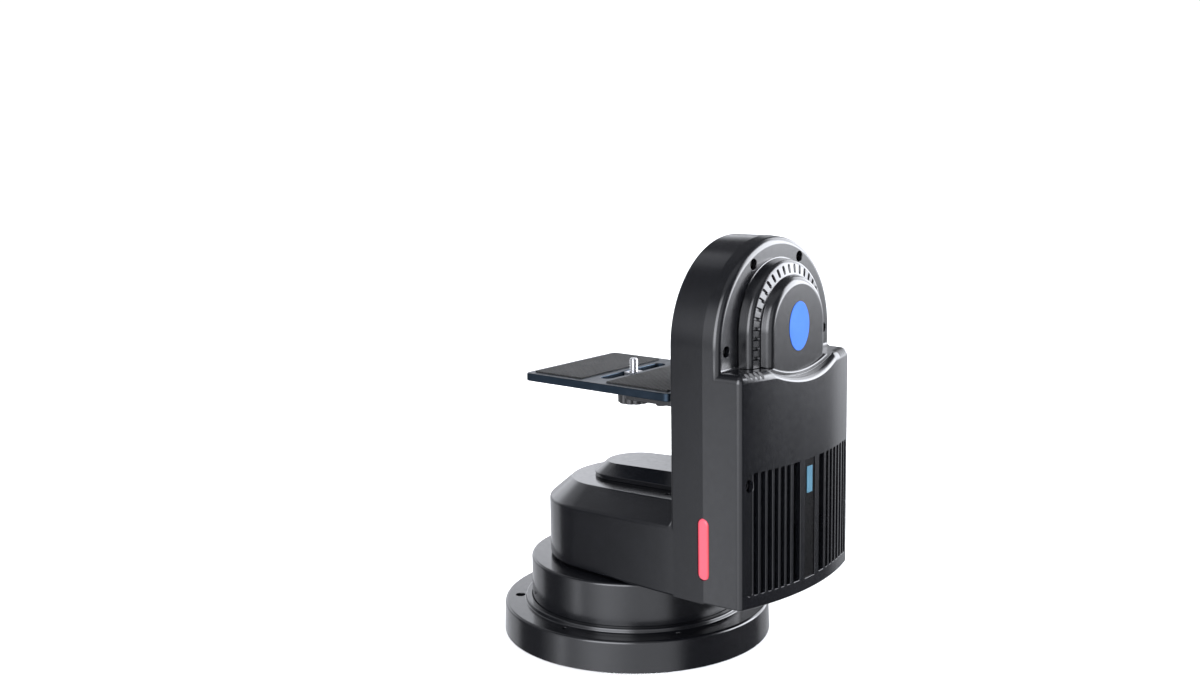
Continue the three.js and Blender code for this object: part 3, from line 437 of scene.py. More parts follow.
# ---------------------------------------------------------------------------------------------------------------------
# base
# ---------------------------------------------------------------------------------------------------------------------
def base():
    o = lathe("flange", [(78.4, 0), (99.6, 0), (98.9, FLANGE_TOP), (83.6, FLANGE_TOP), (83.2, LIP_TOP), (78.9, LIP_TOP), (78.9, 12), (68, 12), (68, 4.6), (78.4, 4.6)],
              [0.3, 0.7, 2.1, 0.9, 1.1, 0.25, 0, 0, 0, 0], seg=220)
    cutters = []
    for a, r in BOLTS:
        x, y = BOLT_R * cos(rad(a)), BOLT_R * sin(rad(a))
        cutters.append(pocket("c", circle(x, y, r, 40), flat("Z", FLANGE_TOP, 1), 30 if r > 2 else 4.0, flare=0.5))
    boolean(o, [join("c", cutters)])
    show(shade(o, 34), "base_flange", "paint")

    o = lathe("drum", [(74.2, 12.3), (DRUM_R, 12.3), (78.3, DRUM_TOP), (38.2, DRUM_TOP), (38.2, 50.6), (74.2, 50.6)], [0, 0, 2.0, 0.5, 0, 0], seg=200)
    boolean(o, [plate("c", rect(-26, 26, 31, 49, 2), 60, 90, 0, axis="Y")])
    show(shade(o, 34), "base_drum", "paint")

    o = lathe("bottom", [(0, 0), (78.0, 0), (78.0, 4.3), (0, 4.3)], [0, 0.6, 0.4, 0], seg=128)
    cut = [pocket("c", circle(62 * cos(rad(a)), 62 * sin(rad(a)), 4.2, 32), lambda u, v, d: (u, v, d), 1.8, flare=0.5) for a in (20, 110, 200, 290)]
    cut.append(lathe("c", [(40, -1), (44, -1), (44, 0.8), (40, 0.8)], 0.3, seg=96))
    boolean(o, [join("c", cut)])
    posts = []
    for x, y in ((-52, -18), (-52, 22), (-26, -40), (-26, 44)):
        posts.append(plate("p", circle(x, y, 3.5, 28), 3.9, 11.7, 0, 0.4))
    boolean(o, [join("p", posts)], "UNION")
    show(shade(o), "base_bottom_plate", "dark_plate")

    # housing of the sockets, behind
    o = loft("housing", [[(u, y, v) for u, v in rect(-31 + i * 0.7, 31 - i * 0.7, 27.5, 53.5 - i * 0.7, 2.2)(e)]
                         for y, e, i in [(66, 0, 0), (89.8, 0, 1.0)] + [(89.8 + 2.2 * sin(pi / 2 * k / 6), 2.2 * (1 - cos(pi / 2 * k / 6)), 1.0) for k in range(1, 7)]])
    drum_cut = plate("c", circle(0, 0, DRUM_R + 0.3, 200), 0, 80, 0)
    inner = plate("c", rect(-28, 28, 30.5, 49.5, 1.0), 72, 89, 0, axis="Y")
    boolean(o, [drum_cut])
    boolean(o, [inner])
    holes = [pocket("c", circle(-19, 40, 8.3, 48), flat("Y", 92, 1), 14, 0.4),
             pocket("c", rect(-6.6, 11.6, 32.4, 48.0, 0.8), flat("Y", 92, 1), 14, 0.35),
             pocket("c", rect(16.4, 28.2, 30.6, 49.8, 0.8), flat("Y", 92, 1), 14, 0.35)]
    boolean(o, [join("c", holes)])
    show(shade(o), "connector_housing", "paint")

    o = lathe("inlet", [(5.2, 93.2), (8.0, 93.2), (8.0, 80.5), (0, 80.5), (0, 83), (5.2, 83)], [0.5, 0.7, 0, 0, 0, 0], seg=64, axis="Y", at=(-19, 0, 40))
    pin = lathe("pin", [(0, 82.5), (1.1, 82.5), (1.1, 91.0), (0, 91.6)], [0, 0, 0.4, 0], seg=24, axis="Y", at=(-19, 0, 40))
    show(shade(o), "power_inlet", "plastic")
    extra(shade(pin), "power_inlet_pin", "base", "nickel")

    o = plate("net", rect(-6.2, 11.2, 32.8, 47.6, 0.7), 79, 92.9, 0, 0.5, axis="Y")
    body = pocket("c", rect(-3.4, 8.4, 35.2, 43.2, 0.3), flat("Y", 92.9, 1), 11.4, 0.35)
    latch = plate("c", rect(-0.9, 5.9, 42.9, 45.6, 0.3), 81.5, 95, 0, axis="Y")
    boolean(o, [body])
    boolean(o, [latch])
    show(shade(o), "network_socket", "nickel")
    wires = []
    for i in range(8):
        x = -1.1 + i * 1.03
        wires.append(plate("w", rect(x - 0.22, x + 0.22, 35.9, 36.35, 0.1), 81.7, 91.2, 0, 0.1, axis="Y", n=2))
    tongue = plate("w", rect(-2.6, 7.6, 35.35, 35.75, 0.1), 81.7, 91.4, 0, 0.1, axis="Y", n=2)
    extra(shade(join("wires", wires)), "network_contacts", "base", "gold")
    extra(shade(tongue), "network_tongue", "base", "plastic")

    o = plate("bezel", rect(16.8, 27.8, 31.0, 49.4, 1.0), 86, 93.0, 0, 0.6, axis="Y")
    boolean(o, [plate("c", rect(18.6, 26.0, 32.4, 48.0, 0.6), 80, 99, 0, axis="Y")])
    show(shade(o), "switch_bezel", "plastic")
    prof = rounded([(88.4, 34.2), (92.3, 34.2), (92.6, 40.2), (94.4, 46.2), (88.4, 46.2)], [0.3, 0.5, 3.0, 0.6, 0.3])
    rings = []
    for x, e in [(19.2, 0.5), (19.35, 0.18), (19.7, 0), (24.9, 0), (25.25, 0.18), (25.4, 0.5)]:
        rings.append([(x, 90.6 + (y - 90.6) * (1 - e * 0.12), 40.2 + (z - 40.2) * (1 - e * 0.07)) for y, z in prof])
    o = loft("rocker", rings)
    show(shade(o), "switch_rocker", "plastic")
    on = plate("on", rect(22.3 - 0.35, 22.3 + 0.35, 36.0, 38.2, 0.1), 92.15, 92.5, 0, axis="Y")
    extra(shade(on), "switch_mark_line", "power_switch", "white")

# ---------------------------------------------------------------------------------------------------------------------
# turning casting
# ---------------------------------------------------------------------------------------------------------------------
def tangent_ring(R, W, xe, n=88, bend=None):
    """Round end about the pan axis with sides that run to (xe, W) without a kink: straight ones,
    or, with a bend, ones that turn slowly until they are parallel to the arm."""
    xc = bend or xe
    t = math.atan2(W, xc) + math.acos(min(1, R / math.hypot(xc, W)))
    pts = [(R * cos(t + (2 * pi - 2 * t) * i / n), R * sin(t + (2 * pi - 2 * t) * i / n)) for i in range(n + 1)]
    side = []
    if bend:
        qx, qy = pts[-1]
        for i in range(1, 16):
            u = i / 16
            v = 1 - u
            side.append((v * v * qx + 2 * u * v * xc + u * u * xe, v * v * qy - (2 * u * v + u * u) * W))
    return pts + side + [(xe, -W), (xe, W)] + [(x, -y) for x, y in reversed(side)]

def body_rings(R, W, ratio, levels, xe, n=88, bend=None):
    """levels: (inset, height, share of the slope)."""
    out = []
    for e, z, s in levels:
        out.append([(x, y, z + RISE * x * s) for x, y in tangent_ring(R - e, W - e * ratio, xe, n, bend)])
    return out

def arch_outline(W, zc, zb, n=112):
    pts = [(-W, zb)]
    for i in range(n + 1):
        a = pi - pi * i / n
        pts.append((W * cos(a), zc + W * sin(a)))
    return pts + [(W, zb)]

def arch_rings(levels, zc, zb, n=112):
    """levels: (x, half width)."""
    return [[(x, y, z) for y, z in arch_outline(W, zc, zb, n)] for x, W in levels]

SCREWS4 = [(58.9, 230.0), (27.7, 284.0), (-27.7, 284.0), (-58.9, 230.0)]

def lamp_cutter(y_face, flare):
    return pocket("c", stadium(112.9, (75.8 + 118.0) / 2, 4.55, (118.0 - 75.8) / 2 + 0.25, 14), lambda u, v, d: (u, y_face + d, v), 7.2, flare)

def casting():
    prof = rounded([(30, BODY_Z), (0, BODY_Z), (0, 103.7), (16.9, 117.4), (40, 117.4)], [0, 1.8, 3.6, 2.0, 0], closed=False, step=7)
    prof = prof[1:-1]
    lev = []
    for e, z in prof:
        s = min(1, max(0, (z - 62.0) / (100.0 - 62.0)))
        lev.append((e, z, s))
    o = loft("casting", body_rings(63.9, ARM_W + 0.02, 0.985, lev, ARM_X + 1.7, bend=54.0))
    r = 1.6
    arm = arch_rings([(ARM_X + r * (1 - cos(pi / 2 * i / 6)), ARM_W - r * (1 - sin(pi / 2 * i / 6))) for i in range(7)] + [(PARTING_X, ARM_W + 0.35), (PARTING_X + 0.12, ARM_W + 0.3)], ARCH_Z, BODY_Z)
    arm_ob = loft("arm", arm)
    # round the arm's lower edge as the pan body's
    collar = []
    rf = 2.6
    zt, zs = 117.4 + RISE * ARM_X, 103.7 + RISE * ARM_X
    for i in range(8):
        lift = rf * (1 - cos(pi / 2 * (1 - i / 7)))
        off = rf * (1 - sin(pi / 2 * (1 - i / 7)))
        y2, z2 = 51.7 + lift * 0.35, zt + lift
        y1 = ARM_W - 0.02
        ring = [(-y1, 80), (-y1, zs + 0.2 + lift * 0.9), (-y2, z2), (y2, z2), (y1, zs + 0.2 + lift * 0.9), (y1, 80)]
        collar.append([(ARM_X - off, y, z) for y, z in ring])
    collar.insert(0, [(ARM_X + 3, y, z) for _, y, z in collar[0]])
    collar_ob = loft("collar", collar)
    boolean(o, [arm_ob], "UNION")
    boolean(o, [collar_ob], "UNION")
    # inside
    inner = loft("i", [[(x, y, z + RISE * x * s) for x, y in tangent_ring(R, W, ARM_X + 8, 48)] for R, W, z, s in ((59.4, 63.6, 63.6, 0), (59.4, 63.6, 101.3, 1), (43, 47.2, 112.4, 1))])
    arm_in = loft("i", arch_rings([(ARM_X + 4.5, ARM_W - 4.5), (PARTING_X + 4, ARM_W - 4.5)], ARCH_Z, 63.6, 64))
    boolean(inner, [arm_in], "UNION")
    boolean(o, [inner])
    bosses = [plate("b", circle(y, z, 5, 24), ARM_X + 3.5, PARTING_X - 0.1, 0, 0.3, axis="X") for y, z in SCREWS4]
    boss = join("b", bosses)
    limit = loft("l", arch_rings([(ARM_X + 3, ARM_W - 1), (PARTING_X - 0.1, ARM_W - 1)], ARCH_Z, BODY_Z + 2, 64))
    boolean(boss, [limit], "INTERSECT")
    boolean(o, [boss], "UNION")
    cuts = [plate("c", circle(y, z, 2.4, 20), 96, PARTING_X + 3, 0, axis="X") for y, z in SCREWS4]
    cuts.append(plate("c", circle(0, 0, 30.5, 96), 50, 70, 0))
    cuts.append(pocket("c", circle(0, TILT_Z, 24.4, 72), flat("X", ARM_X, -1), 9, 0.8))
    cuts.append(loft("c", [[(x, y, z) for x, y in tangent_ring(22, 26, 78, 40)] for z in (100, 135)]))
    for s in (-1, 1):
        cuts.append(pocket("c", circle(62, 40.5 * s, 2.5, 28), lambda u, v, d: (u, v, 117.4 + RISE * u - d), 12, 0.35))
    cuts.append(lamp_cutter(-ARM_W, 0.3))
    boolean(o, [join("c", cuts)])
    show(shade(o, 30), "pan_casting", "paint")

    # cap
    prof = rounded([(40, 117.7), (0, 117.7), (0, 118.35), (1.2, 118.35), (1.2, 119.75), (0, 119.75), (0, 120.9), (9.2, 128.1), (28, 128.1)],
                   [0, 0.15, 0.15, 0.1, 0.1, 0.15, 0.7, 1.0, 0], closed=False, step=9)[1:-1]
    o = loft("cap", body_rings(29.7, 34.4, 1.28, [(e, z, 1) for e, z in prof], 85.7, 72))
    inn = loft("i", [[(x, y, z + RISE * x) for x, y in tangent_ring(R, W, 82, 40)] for R, W, z in ((24.5, 29, 113), (24.5, 29, 119.2), (15, 19, 123.0))])
    boolean(o, [inn])
    show(shade(o, 30), "pan_top_cap", "paint")

# ---------------------------------------------------------------------------------------------------------------------
# outer cover of the arm
# ---------------------------------------------------------------------------------------------------------------------
X0 = PARTING_X + 0.15
def side_w(x, W=COVER_W):
    """Half width of the cover's drafted side at x."""
    return W - DRAFT * max(0.0, x - PARTING_X)

def cover_outline(e, x0, W=COVER_W, r=4.8, nb=40):
    w0 = W - e
    xc = CORNER_X
    for _ in range(8):
        xc = bulge(side_w(xc, w0)) - e
    w = side_w(xc, w0)
    pts, radii = [(x0, -side_w(x0, w0)), (xc, -w)], [0, max(0.4, r - e)]
    for i in range(nb + 1):
        y = -w + 6.0 + (2 * w - 12.0) * i / nb
        pts.append((bulge(y) - e, y))
        radii.append(0)
    pts += [(xc, w), (x0, side_w(x0, w0))]
    radii += [max(0.4, r - e), 0]
    return rounded(pts, radii, True, count=14)

def on_bulge(u, v, d):
    return (bulge(u) - d, u, v)

def outer_cover():
    r = 5.0
    w1 = side_w(PLATE_X - r)
    lev = [(X0, COVER_W - 0.08), (X0 + 0.08, COVER_W)] + [(PLATE_X - r + r * sin(pi / 2 * i / 14), w1 - r + r * cos(pi / 2 * i / 14)) for i in range(15)]
    o = loft("arch", arch_rings(lev, ARCH_Z, 203.0))
    levels = edge_levels(BODY_Z, LEDGE_Z, 1.8, LEDGE_R, 10)
    low = loft("low", [[(x, y, z) for x, y in cover_outline(e, X0)] for z, e in levels])
    boolean(o, [low], "UNION")
    # small hollow fillet where the plate meets the ledge
    rf = 1.7
    tri = [(PLATE_X - 1, LEDGE_Z - 1), (PLATE_X - 1, LEDGE_Z + rf)] + [(PLATE_X + rf - rf * cos(pi / 2 * i / 6), LEDGE_Z + rf - rf * sin(pi / 2 * i / 6)) for i in range(7)] + [(PLATE_X + rf, LEDGE_Z - 1)]
    fil = loft("f", [[(x, y, z) for x, z in tri] for y in (-COVER_W + 4.2, COVER_W - 4.2)])
    boolean(o, [fil], "UNION")
    # inside
    inn = loft("i", [[(x, y, z) for x, y in cover_outline(4.5, X0 - 3, nb=20)] for z in (63.6, 200.5)])
    arch_in = loft("i", arch_rings([(X0 - 3, ARM_W - 4.5), (PLATE_X - 4, ARM_W - 5.5)], ARCH_Z, 150, 64))
    boolean(inn, [arch_in], "UNION")
    boolean(o, [inn])
    bosses = [plate("b", circle(y, z, 5.4, 24), X0 + 0.1, PLATE_X - 2, 0, axis="X") for y, z in SCREWS4]
    bosses.append(plate("b", circle(-59.3, 143.0, 4.6, 24), 128, 140, 0, axis="X"))
    boolean(o, [join("b", bosses)], "UNION")
    # seat of the hub, and the hollow in front of it
    seat = []
    for x in (135.2, 143.15):
        ring = [(x, -37 + 74 * i / 60, 210.35 + (-37 + 74 * i / 60) ** 2 / 173.2) for i in range(61)]
        seat.append(ring + [(x, 37, 250), (x, -37, 250)])
    boolean(o, [loft("s", seat)])
    rl, rb, rr, a0 = 1.15, 0.3, 4.3, FLARE0 * 0.6
    wall, nn, span = 144.3, 100, 62.0
    zc = SCALLOP_Z + SCALLOP_R
    def floor_z(y, e):
        arc = zc - math.sqrt((SCALLOP_R + e) ** 2 - y * y)
        k, top = 0.3, LEDGE_Z + 0.04
        m = min(arc, top)
        return m - k * math.log(math.exp(-(arc - m) / k) + math.exp(-(top - m) / k))
    deep = rr * cos(a0)
    rings = []
    def ring_at(xf, zf):
        ys = [-span + 2 * span * i / nn for i in range(nn + 1)]
        rings.append([(xf(y), y, zf(y)) for y in ys] + [(xf(span), span, 250), (xf(-span), -span, 250)])
    seat_z = lambda y: 211.25 + y * y / 173.2
    edge = lambda y, k: bulge(y) - deep - 0.05 * (20 - k)
    for i in range(7):
        t = pi / 2 * i / 6
        ring_at(lambda y, i=i, t=t: min(wall - rl + rl * sin(t), edge(y, i)), lambda y, t=t: seat_z(y) - rl * (1 - cos(t)))
    for i in range(7):
        t = pi / 2 * i / 6
        ring_at(lambda y, i=i, t=t: min(wall + 0.02 + rb * (1 - cos(t)), edge(y, 8 + i)), lambda y, t=t: min(floor_z(y, -1.25 - rb * (1 - sin(t))), seat_z(y) - rl))
    for i in range(9):
        a = pi / 2 - (pi / 2 - a0) * i / 8
        ring_at(lambda y, a=a: bulge(y) - deep + rr * cos(a), lambda y, a=a: floor_z(y, -1.25 + rr * (1 - sin(a))))
    low = -1.25 + rr * (1 - sin(a0)) + 2.0 / math.tan(a0) * 0.5
    ring_at(lambda y: bulge(y) + 2.0, lambda y: floor_z(y, low))
    ring_at(lambda y: bulge(y) + 14.0, lambda y: floor_z(y, low))
    boolean(o, [loft("s", rings)])
    # holes, slots and strips
    cuts = []
    for y, z in SCREWS4:
        cuts.append(pocket("c", circle(y, z, 3.6, 36), flat("X", PLATE_X, 1), 6.6, 0.6))
    cuts.append(plate("c", circle(0, TILT_Z, 30, 72), 110, 140, 0, axis="X"))
    cuts.append(lamp_cutter(-COVER_W, 0.3))
    vlo, vhi = 68.5, 151.3
    vc, vh = (vlo + vhi) / 2, (vhi - vlo) / 2
    for y in (24, 30, 36, 42, 48, 54):
        for s in (-1, 1):
            cuts.append(pocket("c", rect(s * y - 2.0, s * y + 2.0, vlo, vhi, 1.0), on_bulge, 9.0, 0.42))
    for s in (-1, 1):
        cuts.append(pocket("c", rect(s * 15.4 - 3.7, s * 15.4 + 3.7, vlo, vhi, 1.0), on_bulge, 9.0, 0.42))
    boolean(o, [join("c", cuts)])
    cuts = [pocket("c", rect(-6.3, 6.3, vlo - 0.6, vhi, 1.0), on_bulge, 0.8, 0.3)]
    for s in (-1, 1):
        cuts.append(pocket("c", rect(min(s * 57.1, s * 61.4), max(s * 57.1, s * 61.4), vlo - 0.4, vhi - 0.2, 1.8), on_bulge, 0.8, 0.3))
    cuts += [plate("c", circle(y, z, 2.3, 20), 112, 120, 0, axis="X") for y, z in SCREWS4]
    # V notches over the ledge's rounded front edge
    for i in range(4):
        for s in (-1, 1):
            y = s * (48.1 + i * 3.75)
            xm, zm = bulge(y) - LEDGE_R, LEDGE_Z - LEDGE_R
            rings = []
            for k in range(9):
                u = k / 8
                phi = rad(-8 + 84 * u)
                dep = 2.4 * sin(pi * (0.06 + 0.88 * u)) ** 0.6
                w = 0.3 + 0.5 * dep
                ring = []
                for h, dy in ((-dep, -0.12), (-dep, 0.12), (0.05, w), (0.9, w + 0.2), (0.9, -w - 0.2), (0.05, -w)):
                    ring.append((xm + (LEDGE_R + h) * sin(phi) - (1.6 if k == 0 else 0), y + dy, zm + (LEDGE_R + h) * cos(phi)))
                rings.append(ring)
            cuts.append(loft("c", rings))
    boolean(o, [join("c", cuts)])
    boolean(o, [join("c", [pocket("c", stadium(-59.3, 143.0, 2.9, 4.3, 12), on_bulge, 5.4, 0.5)])])
    boolean(o, [plate("c", circle(-59.3, 143.0, 1.7, 20), 120, 150, 0, axis="X")])
    show(shade(o, 28), "arm_outer_cover", "paint", also=("strip_shade",))
    # Faces on the middle strip's recessed floor take the second material, painted shade for the recess
    for f in o.data.polygons:
        c = f.center / MM
        if abs(c.y) < 6.4 and vlo - 0.8 < c.z < vhi + 0.2 and bulge(c.y) - 0.95 < c.x < bulge(c.y) - 0.65 and f.normal.x > 0.95:
            f.material_index = 1

# ---------------------------------------------------------------------------------------------------------------------
# hub
# ---------------------------------------------------------------------------------------------------------------------
def hub():
    prof = rounded([(PLATE_X + 0.3, 45.5), (133.8, 44.6), (135.8, 34.9), (142.9, 33.2), (142.9, 10)], [0, 4.2, 0.9, 5.4, 0], closed=False, step=5)
    prof = [(PLATE_X + 0.3, 46.3), (PLATE_X + 0.5, 45.65)] + prof[1:-1]
    rings = []
    n, m = 120, 48
    flat_z = LEDGE_Z + 0.35
    for x, r in prof:
        pts = []
        for i in range(n + 1):
            a = pi - pi * i / n
            pts.append((x, r * cos(a), TILT_Z + r * sin(a)))
        t = min(1, max(0, (x - 135.6) / 0.6))
        up = max(0.0, x - (142.9 - 0.5))
        lift = 0.5 - math.sqrt(max(0.0, 0.5 ** 2 - up ** 2))
        for i in range(m + 1):
            y = r - 2 * r * i / m
            arc = 210.7 + y * y / 173
            pts.append((x, y, flat_z * (1 - t) + (arc + lift) * t))
        rings.append(pts)
    o = loft("hub", rings)
    boolean(o, [plate("c", circle(0, TILT_Z, 29, 64), 120, 138.5, 0, axis="X")])
    # notches across the sloped ring
    slope = (135.8 - 133.8) / (44.6 - 34.9)
    cuts = []
    def notch(cy, cz, ang):
        c, s = cos(ang), sin(ang)
        rings = []
        for rr, dep, w in ((36.2, 0.05, 0.35), (36.7, 1.0, 0.5), (37.4, 1.4, 0.55), (40.6, 1.5, 0.6), (41.5, 1.1, 0.55), (42.1, 0.05, 0.4)):
            xs = 135.8 - (rr - 34.8) * slope
            ring = []
            for tt, xx in ((-w, xs - dep), (w, xs - dep), (w + 0.3 + 0.3 * dep, xs + 0.02), (w + 0.8, xs + 2), (-w - 0.8, xs + 2), (-w - 0.3 - 0.3 * dep, xs + 0.02)):
                ring.append((xx, rr * c - tt * s + cy, rr * s + tt * c + cz))
            rings.append(ring)
        cuts.append(loft("c", rings))
    for i in range(19):
        notch(0, TILT_Z, pi * (i + 0.5) / 19)
    for i in range(4):
        z = TILT_Z - 3.3 - 6.5 * i
        if z > LEDGE_Z + 2:
            notch(0, z, 0)
            notch(0, z, pi)
    boolean(o, [join("c", cuts)])
    show(shade(o, 28), "hub_dome", "paint_grain")

    n = 72
    ell = lambda e: [((12.0 - e) * cos(2 * pi * i / n), 241.0 + (16.7 - e) * sin(2 * pi * i / n)) for i in range(n)]
    o = plate("badge", ell, 142.95, 143.3, 0, 0.2, axis="X", n=3)
    show(shade(o), "hub_badge", "badge")
    o = plate("tag", rect(-3.4, 3.4, 127.6, 146.0, 0.3), 151.75, 152.05, 0, 0.12, axis="X", n=2)
    show(shade(o), "label_tag", "tag")

    rings = []
    st = stadium(112.9, (75.8 + 118.0) / 2, 4.3, (118.0 - 75.8) / 2, 16)
    for y, e in [(-61.5, 0), (-67.0, 0), (-68.2, 0)] + [(-68.2 - 1.5 * sin(pi / 2 * i / 7), 2.0 * (1 - cos(pi / 2 * i / 7))) for i in range(1, 8)]:
        rings.append([(u, y, v) for u, v in st(e)])
    o = loft("lamp", rings)
    show(shade(o, 40), "tally_lamp", "lamp", also=("plastic",))
    for f in o.data.polygons:
        if f.center.y > -0.0665:
            f.material_index = 1

# ---------------------------------------------------------------------------------------------------------------------
# screws
# ---------------------------------------------------------------------------------------------------------------------
def screw(node, origin, direction, rh, h, rs, L, hx, depth, mat="screw", seg=48):
    """Socket screw. origin is under the head; direction points out of the head."""
    def hexr(t, a):
        k = (t % (pi / 3)) - pi / 6
        return a / cos(k)
    def ring(r, z, a=None):
        return [((hexr(2 * pi * i / seg, a) if a else r) * cos(2 * pi * i / seg), (hexr(2 * pi * i / seg, a) if a else r) * sin(2 * pi * i / seg), z) for i in range(seg)]
    f = min(0.5, h * 0.2)
    rings = [ring(rs * 0.8, -L), ring(rs, -L + rs * 0.25), ring(rs, -0.01), ring(rh - f * 0.4, 0), ring(rh, f * 0.4)]
    rings += [ring(rh - f * (1 - cos(pi / 2 * i / 4)), h - f * (1 - sin(pi / 2 * i / 4))) for i in range(5)]
    rings += [ring(0, h, hx + 0.12), ring(0, h - 0.15, hx), ring(0, h - depth, hx)]
    q = Vector((0, 0, 1)).rotation_difference(Vector(direction))
    out = []
    for r in rings:
        out.append([tuple(q @ Vector(p) + Vector(origin)) for p in r])
    o = loft("screw", out)
    return show(shade(o, 35), node, mat)

def screws():
    for i, (y, z) in enumerate(SCREWS4):
        screw("plate_screw_%d" % (i + 1), (118.8, y, z), (1, 0, 0), 3.2, 3.0, 2.0, 19.5, 1.5, 1.6)
    screw("cover_screw", (138.8, -59.3, 143.0), (1, 0, 0), 2.6, 2.1, 1.4, 13.5, 1.2, 1.1)
    for s, nm in ((-1, "front"), (1, "rear")):
        screw("body_screw_" + nm, (62, 40.5 * s, 114.7), (0, 0, 1), 2.2, 3.5, 1.2, 6.0, 1.1, 1.4)
    bolts = [(24 * cos(rad(a)), TILT_Z + 24 * sin(rad(a))) for a in (45, 135, 225, 315)]
    for i, (y, z) in enumerate(bolts):
        screw("bracket_screw_%d" % (i + 1), (72.4, y, z), (-1, 0, 0), 4.2, 3.8, 2.2, 6.3, 2.0, 1.9)
    for s, nm in ((-1, "front"), (1, "rear")):
        screw("platform_screw_" + nm, (46, 26 * s, 182.4), (0, 0, -1), 4.2, 3.5, 2.2, 5.8, 2.0, 1.8)

# ---------------------------------------------------------------------------------------------------------------------
# tilting parts
# ---------------------------------------------------------------------------------------------------------------------
PU = 194.4 - 5.8
def tilting():
    o = lathe("flange", [(15.4, 79.2), (34.0, 79.2), (34.0, 85.4), (15.4, 85.4)], [0.5, 0.8, 0.5, 0.3], seg=120, axis="X", at=(0, 0, TILT_Z))
    show(shade(o), "tilt_flange", "steel")
    o = lathe("shaft", [(9.0, 79.2), (15.0, 79.2), (15.0, 120), (9.0, 120)], [0.4, 0.5, 0.5, 0.4], seg=72, axis="X", at=(0, 0, TILT_Z))
    show(shade(o), "tilt_shaft", "steel")

    # bracket: round-topped plate with a foot
    pts = [(40 * cos(pi * i / 48), TILT_Z + 40 * sin(pi * i / 48)) for i in range(49)] + [(-40, 182.6), (40, 182.6)]
    rad_l = [0] * 49 + [1.0, 1.0]
    upright = plate("u", poly(pts, rad_l), 72.6, 78.9, 0.9, 0.9, axis="X")
    foot = plate("f", poly([(16, -30), (24, -40), (74, -40), (74, 40), (24, 40), (16, 30)], [4, 6, 0.5, 0.5, 6, 4]), 182.6, PU - 0.2, 0.8)
    boolean(upright, [foot], "UNION")
    cut = [plate("c", circle(24 * cos(rad(a)), TILT_Z + 24 * sin(rad(a)), 2.5, 28), 70, 82, 0, axis="X") for a in (45, 135, 225, 315)]
    cut += [plate("c", circle(46, 26 * s, 2.5, 28), 180, 192, 0) for s in (-1, 1)]
    cut.append(pocket("c", circle(0, TILT_Z, 7.0, 48), flat("X", 72.6, -1), 4.5, 0.8))
    boolean(upright, [join("c", cut)])
    show(shade(upright), "l_bracket", "dark_plate")

    # camera platform with its slot
    o = plate("plat", rect(-62.0, 72.2, -52.0, 52.0, 5), PU, 194.4, 0.7, 0.9)
    slot = stadium(0, 0, 5.0, 35.0, 16)
    cut = [pocket("c", slot, flat("Z", 194.4, 1), 9, 0.7)]
    boolean(o, [join("c", cut)])
    show(shade(o), "camera_platform", "navy")
    for (x0, x1, nm) in ((-56, -12, "left"), (12, 66, "right")):
        # ribbed rubber
        top, bot, pitch = 195.45, 194.45, 3.0
        prof = [(x0, bot), (x0, top - 0.25), (x0 + 0.3, top)]
        k = int((x1 - x0 - 3) / pitch)
        start = (x0 + x1) / 2 - k * pitch / 2
        for j in range(k + 1):
            x = start + j * pitch
            prof += [(x - 0.45, top), (x - 0.3, top - 0.45), (x + 0.3, top - 0.45), (x + 0.45, top)]
        prof += [(x1 - 0.3, top), (x1, top - 0.25), (x1, bot)]
        rings = []
        for y, e in ((-46, 0.3), (-45.7, 0.0), (45.7, 0.0), (46, 0.3)):
            rings.append([(x, y, min(z, top - e)) for x, z in prof])
        show(shade(loft("pad", rings), 25), "platform_pad_" + nm, "rubber")

    o = plate("carriage", rect(-9, 9, -11, 11, 2), PU - 2.5, PU - 0.3, 0.3)
    boss = plate("b", rect(-4.7, 4.7, -6, 6, 1.0), PU - 1.0, 194.0, 0, 0.3)
    boolean(o, [boss], "UNION")
    boolean(o, [plate("c", circle(0, 0, 3.5, 40), 180, 200, 0)])
    show(shade(o), "screw_carriage", "steel")

    # camera screw with a real thread
    pitch, n = 1.27, 40
    z0, z1 = 172.0, 203.9
    rows = int((z1 - z0) / pitch * 8)
    rings = [[(0.6 * cos(2 * pi * i / n), 0.6 * sin(2 * pi * i / n), z0) for i in range(n)]]
    for k in range(rows + 1):
        z = z0 + (z1 - z0) * k / rows
        ring = []
        for i in range(n):
            ph = (z / pitch - i / n) % 1.0
            tri = 1 - abs(2 * ph - 1)
            r = 2.55 + 0.6 * min(1, max(0, tri * 1.35 - 0.15))
            r = min(r, 3.15 - max(0, z - (z1 - 0.9)) * 0.9)
            if 186.5 < z < 194.6:
                r = 3.0
            ring.append((r * cos(2 * pi * i / n), r * sin(2 * pi * i / n), z))
        rings.append(ring)
    o = loft("cscrew", rings)
    show(shade(o, 40), "camera_screw", "steel")

    # knob with coarse flutes
    n = 160
    def kr(i, e):
        t = (i * 10 / n) % 1.0
        return 11.95 - e - 0.85 * (0.5 - 0.5 * cos(2 * pi * t)) ** 3
    lev = edge_levels(171.0, 184.8, 1.0, 0.8, 5)
    rings = [[(kr(i, e) * cos(2 * pi * i / n), kr(i, e) * sin(2 * pi * i / n), z) for i in range(n)] for z, e in lev]
    o = loft("knob", rings)
    boolean(o, [pocket("c", circle(0, 0, 6.5, 48), lambda u, v, d: (u, v, 171.0 + d), 1.2, 0.5)])
    boolean(o, [plate("c", circle(0, 0, 3.3, 40), 168, 190, 0)])
    show(shade(o), "screw_knob", "plastic")

base()
casting()
outer_cover()
hub()
screws()
tilting()

